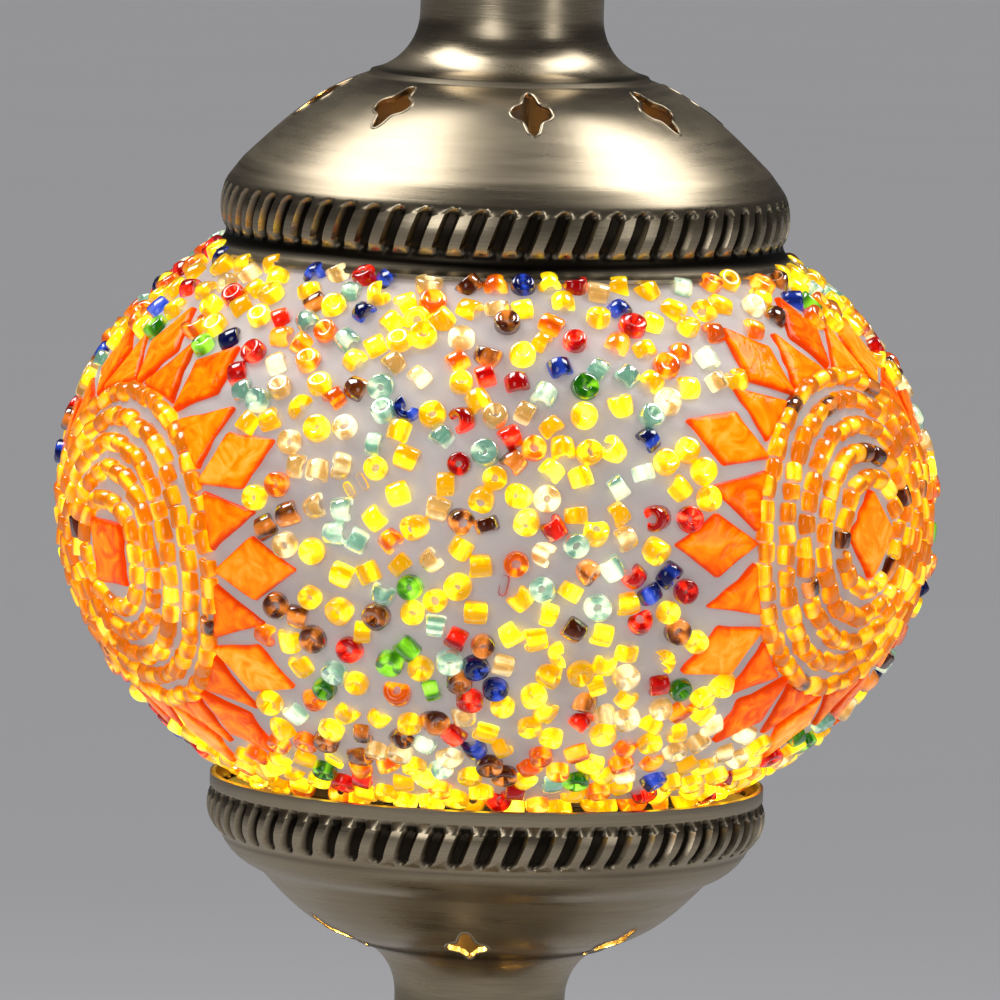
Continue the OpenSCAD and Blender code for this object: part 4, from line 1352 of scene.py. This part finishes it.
            # Painted light near the cup's rim: beads there are swapped to lemon or amber and glow
            # brighter, as if lit from below.
            rim_light = float(smooth(9.0, 1.0, np.array(spot[2] - low)))
            fixed = (BeadColour.RED, BeadColour.GREEN)
            if rim_light > self.random.random() and colour not in fixed:
                colour = BeadColour.LEMON if self.random.random() < 0.7 else BeadColour.AMBER
            lie = self.random.random()
            away = unit(np.cross(out, self.random.normal(0, 1, 3)))
            outer = self.random.uniform(1.72, 2.08)
            size = {"outer": outer, "hole": self.random.uniform(0.4, 0.68),
                    "length": self.random.uniform(2.3, 3.3)}
            if lie < 0.42:
                axis = out + away * self.random.uniform(0, 0.3)
                height = BEAD_TOP - size["length"] / 2
            elif lie < 0.86:
                size["outer"] = min(outer, 1.82)
                axis = away + out * self.random.normal(0, 0.12)
                height = BEAD_TOP + 0.05 - size["outer"]
            else:
                axis = out + away * self.random.uniform(0.6, 1.6)
                height = TILTED_HEIGHT
            if self.random.random() < 0.05:
                size["sweep"] = self.random.uniform(0.5, 0.75)
            self.set_bead(spot + out * height, axis, out, size, stores[colour],
                          self.random.uniform(0.6, 1.0) + 0.4 * rim_light)
        for colour, store in stores.items():
            self.make_beads("strewn_" + colour.name.lower(), store, colour.value)

    # -- plaster

    def build_plaster(self) -> None:
        """Builds the plaster skin with the small waves that fingers and sponge leave."""
        low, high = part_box("plaster_coat")
        skin = self.glass.grown(self.plaster)
        rows, columns = PLASTER_GRID
        heights = np.linspace(low.z / MM, high.z / MM, rows)[:, None] - self.glass.centre_z
        turn = np.arange(columns) * 2 * math.pi / columns

        def layer(shape: Ellipsoid, z: np.ndarray) -> np.ndarray:
            """Returns a grid of points of an ellipsoid at the given heights."""
            radius = shape.wide * np.sqrt(1 - (z / shape.tall) ** 2)
            return around_axis(radius, turn, z + shape.centre_z)

        outside = layer(skin, heights)
        waves = np.zeros((rows, columns))
        for _ in range(PLASTER_WAVES):
            k = self.random.integers(3, 60)
            m = self.random.uniform(0.2, 2.2)
            phase = self.random.uniform(0, 2 * math.pi)
            waves += np.sin(k * turn + m * heights + phase) * WAVE_HEIGHT
        outside += skin.normal(outside) * waves[..., None]
        few = np.linspace(rows - 1, 0, 12).astype(int)
        points = np.vstack([outside, layer(self.glass.grown(0.15), heights[few])])
        piece = add_mesh("plaster_skin", points.reshape(-1, 3) * MM,
                         ring_faces(len(points), columns), 60.0)
        dress(piece, PLASTER)
        report(piece, "globe", "plaster", "plaster_coat")

    def build(self) -> None:
        """Builds all the globe's outer work."""
        self.build_plaster()
        self.build_tiles()
        self.ring_beads()
        self.strewn_beads()


# ---------------------------------------------------------------- turned pieces

TURNED_COLUMNS = 160  # points about the axis


@dataclass
class TurnedPart:
    """A solid turned brass piece.

    Attributes:
        node: The CAD node that it replaces.
        body: The CAD body that it moves with.
        outline: Radius and height of its points, from its foot, closed through its bore.
    """

    node: str
    body: str
    outline: Outline

    def build(self) -> bpy.types.Object:
        """Turns the piece and dresses it."""
        low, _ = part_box(self.node)
        path = np.array(self.outline, float)
        turn = np.arange(TURNED_COLUMNS) * 2 * math.pi / TURNED_COLUMNS
        points = around_axis(path[:, :1], turn, path[:, 1:] + low.z / MM)
        piece = add_mesh(self.node + "_turned", points.reshape(-1, 3) * MM,
                         ring_faces(*points.shape[:2]), 35.0)
        dress(piece, TURNED_BRASS)
        return report(piece, self.body, "turned_brass", self.node)


def node_size(node: str) -> tuple[float, float]:
    """Returns a round CAD node's radius and height, in millimetres."""
    low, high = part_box(node)
    return max(high.x, high.y) / MM, (high.z - low.z) / MM


def collar(node: str, body: str, bore: float) -> TurnedPart:
    """Returns a collar with a round edge and a fine groove on each side."""
    radius, height = node_size(node)
    edge = radius - height / 2
    arc = [(edge + height / 2 * math.cos(a), height / 2 + height / 2 * math.sin(a))
           for a in np.radians(np.linspace(-70, 70, 19))]
    outline = [(bore, 0.0), (edge - 0.8, 0.0), (edge - 0.4, 0.25), (edge, 0.0)] + arc
    outline += [(edge, height), (edge - 0.4, height - 0.25), (edge - 0.8, height), (bore, height)]
    return TurnedPart(node, body, outline)


def baluster() -> TurnedPart:
    """Returns the stem's turned swelling, with a bead at each end and a scored waist line."""
    radius, height = node_size("stem_baluster")
    neck = 9.0
    outline = [(ROD_HOLE, 0.0), (neck, 0.0)]
    bend(outline, (neck + 0.6, 1.4), (radius, height / 2 - 7), (radius, height / 2 - 0.35), 22)
    outline += [(radius - 0.35, height / 2), (radius, height / 2 + 0.35)]
    bend(outline, (radius, height / 2 + 7), (neck + 0.6, height - 1.4), (neck, height), 22)
    outline += [(ROD_HOLE, height)]
    return TurnedPart("stem_baluster", "base", outline)


def finial_ball() -> TurnedPart:
    """Returns the finial's ball with two scored lines."""
    radius, height = node_size("finial_ball")
    outline = [(STUD_HOLE, 0.0)]
    for a in np.radians(np.linspace(-56, 56, 57)):
        scored = 0.22 if min(abs(a - 0.16), abs(a + 0.16)) < 0.02 else 0.0
        outline.append(((radius - scored) * math.cos(a), height / 2 + radius * math.sin(a)))
    outline += [(STUD_HOLE, height), (STUD_HOLE, height - 1)]
    return TurnedPart("finial_ball", "cap", outline)


def finial_spike() -> TurnedPart:
    """Returns the finial's drawn-out spike."""
    _, height = node_size("finial_spike")
    neck = 4.95
    outline = [(0.001, 0.0), (neck, 0.0)]
    bend(outline, (neck + 2, 1), (neck + 2.4, 5), (neck + 0.6, 8), 14)
    bend(outline, (neck - 2.2, 13), (1.8, height - 8), (1.1, height - 1), 24)
    bend(outline, (0.95, height - 0.5), (0.6, height), (0.001, height), 5)
    return TurnedPart("finial_spike", "cap", outline)


def finial_collar() -> TurnedPart:
    """Returns the disc under the finial's ball."""
    radius, height = node_size("finial_collar")
    outline = [(STUD_HOLE, 0.0), (radius - 1.8, 0.0)]
    bend(outline, (radius, 0.6), (radius, 2.2), (radius - 2.6, height), 14)
    outline += [(STUD_HOLE, height)]
    return TurnedPart("finial_collar", "cap", outline)


# ---------------------------------------------------------------- the rest of the lamp


@dataclass
class CarriedParts:
    """The CAD nodes that keep their shape and get a better finish."""

    finishes: dict[str, Finish]

    def build(self) -> None:
        """Dresses each node."""
        for node, finish in self.finishes.items():
            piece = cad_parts[node]
            dress(piece, finish)
            if isinstance(finish, Glass):
                mark_glass(piece.data, np.tile([0.5, 0.8, 1.0, 1.0], len(piece.data.vertices)))
            LOG.info("%s: kept, in %s", node, finish.name)


@dataclass
class Studio:
    """The floor, the lights and the camera.

    Attributes:
        distance: Distance of the camera from the globe, in metres.
        elevation_deg: Height of the camera above the level, in degrees.
        roll_deg: Turn of the camera about its view.
        field_mm: Height of what the camera takes in at the globe.
        aside_mm: How far the view's middle lies right of the globe's centre.
        above_mm: How far the view's middle lies above the globe's centre.
    """

    distance: float = 2.0
    elevation_deg: float = 5.9
    roll_deg: float = 1.9
    field_mm: float = 146.4
    aside_mm: float = 0.6
    above_mm: float = 0.45

    def floor(self) -> None:
        """Lays a wide pale floor."""
        work = bmesh.new()
        bmesh.ops.create_grid(work, x_segments=48, y_segments=48, size=9.0)
        mesh = bpy.data.meshes.new("studio_floor")
        work.to_mesh(mesh)
        work.free()
        floor = placed("studio_floor", mesh)
        dress(floor, PALE_FLOOR)

    def area(self, name: str, spot: tuple, size: float, power: float,
             height: Optional[float] = None) -> None:
        """Hangs a soft box that faces the globe.

        Args:
            name: Name of the light.
            spot: Where it hangs, in metres.
            size: Its width.
            power: Its power, in watts.
            height: Its height, where it isn't square.
        """
        light = bpy.data.lights.new(name, "AREA")
        light.shape = "RECTANGLE"
        light.size = size
        light.size_y = height or size
        light.energy = power
        light.spread = math.radians(95)
        lamp = placed(name, light)
        lamp.location = spot
        aim = Vector((0.0, 0.0, self.globe_z())) - Vector(spot)
        lamp.rotation_euler = aim.to_track_quat("-Z", "Y").to_euler()

    @staticmethod
    def globe_z() -> float:
        """Returns the height of the globe's centre, in metres."""
        low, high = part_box("glass_globe")
        return (low.z + high.z) / 2

    def glow(self, name: str, spot: tuple, power: float, colour: Colour) -> None:
        """Sets a small warm light inside the lamp."""
        light = bpy.data.lights.new(name, "POINT")
        light.energy = power
        light.color = colour
        light.shadow_soft_size = 0.006
        placed(name, light).location = spot

    def lights(self) -> None:
        """Sets the soft boxes, the grey surroundings and the lit bulb."""
        self.area("soft_box_left", (-0.42, 0.10, 0.92), 0.52, 1.15)
        self.area("soft_box_right", (0.44, 0.14, 0.92), 0.44, 0.8)
        self.area("soft_box_front", (-0.62, -1.35, 0.62), 0.5, 1.1, height=0.8)
        self.area("soft_box_side", (1.0, -0.75, 0.42), 0.3, 0.35, height=0.8)
        over_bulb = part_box("bulb_glass")[1].z + 0.012
        self.glow("bulb_light", (0.0, 0.0, over_bulb), 0.5, (1.0, 0.38, 0.04))
        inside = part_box("cup_bell")[1].z - 0.009
        for side in (-1, 1):
            self.glow(f"light_under_seat_{side + 1}", (0.021 * side, -0.012, inside), 0.3,
                      (1.0, 0.66, 0.16))
        world = bpy.data.worlds.new("studio_air")
        bpy.context.scene.world = world
        world.use_nodes = True
        air = Shader(world.node_tree)
        node = world.node_tree.nodes["Background"]
        path = air.add("ShaderNodeLightPath").outputs
        seen = air.mix(path["Is Camera Ray"], (0.52, 0.52, 0.53), (0.26, 0.26, 0.265))
        air.feed(node.inputs["Color"],
                 air.mix(path["Is Glossy Ray"], seen, (0.042, 0.042, 0.044)))
        bpy.context.scene.view_settings.view_transform = "Standard"

    def camera(self) -> None:
        """Places the camera in front of the globe, a little above it."""
        data = bpy.data.cameras.new("view")
        data.sensor_width = 36.0
        data.lens = data.sensor_width * self.distance / (self.field_mm * MM)
        data.clip_start, data.clip_end = 0.05, 50.0
        camera = placed("view", data)
        rise = math.radians(self.elevation_deg)
        aim = Vector((self.aside_mm * MM, 0.0, self.globe_z() + self.above_mm * MM))
        camera.location = aim + Vector((0.0, -math.cos(rise), math.sin(rise))) * self.distance
        turn = (aim - camera.location).to_track_quat("-Z", "Y").to_matrix().to_4x4()
        roll = math.radians(self.roll_deg)
        camera.matrix_world = (Matrix.Translation(camera.location) @ turn
                               @ Matrix.Rotation(roll, 4, "Z"))
        bpy.context.scene.camera = camera

    def build(self) -> None:
        """Builds the studio."""
        self.floor()
        self.lights()
        self.camera()


def main() -> None:
    """Builds the lamp, sub-assembly by sub-assembly, and its studio."""
    logging.basicConfig(level=logging.INFO, format="%(message)s")
    CarriedParts(FINISHES).build()
    for bell in (cap_bell(), cup_bell(), foot_bell()):
        bell.build()
    for part in (collar("stem_lower_collar", "base", ROD_HOLE), baluster(),
                 collar("stem_upper_collar", "base", ROD_HOLE), finial_collar(), finial_ball(),
                 finial_spike()):
        part.build()
    MosaicGlobe().build()
    Studio().build()


if __name__ == "__main__":
    main()
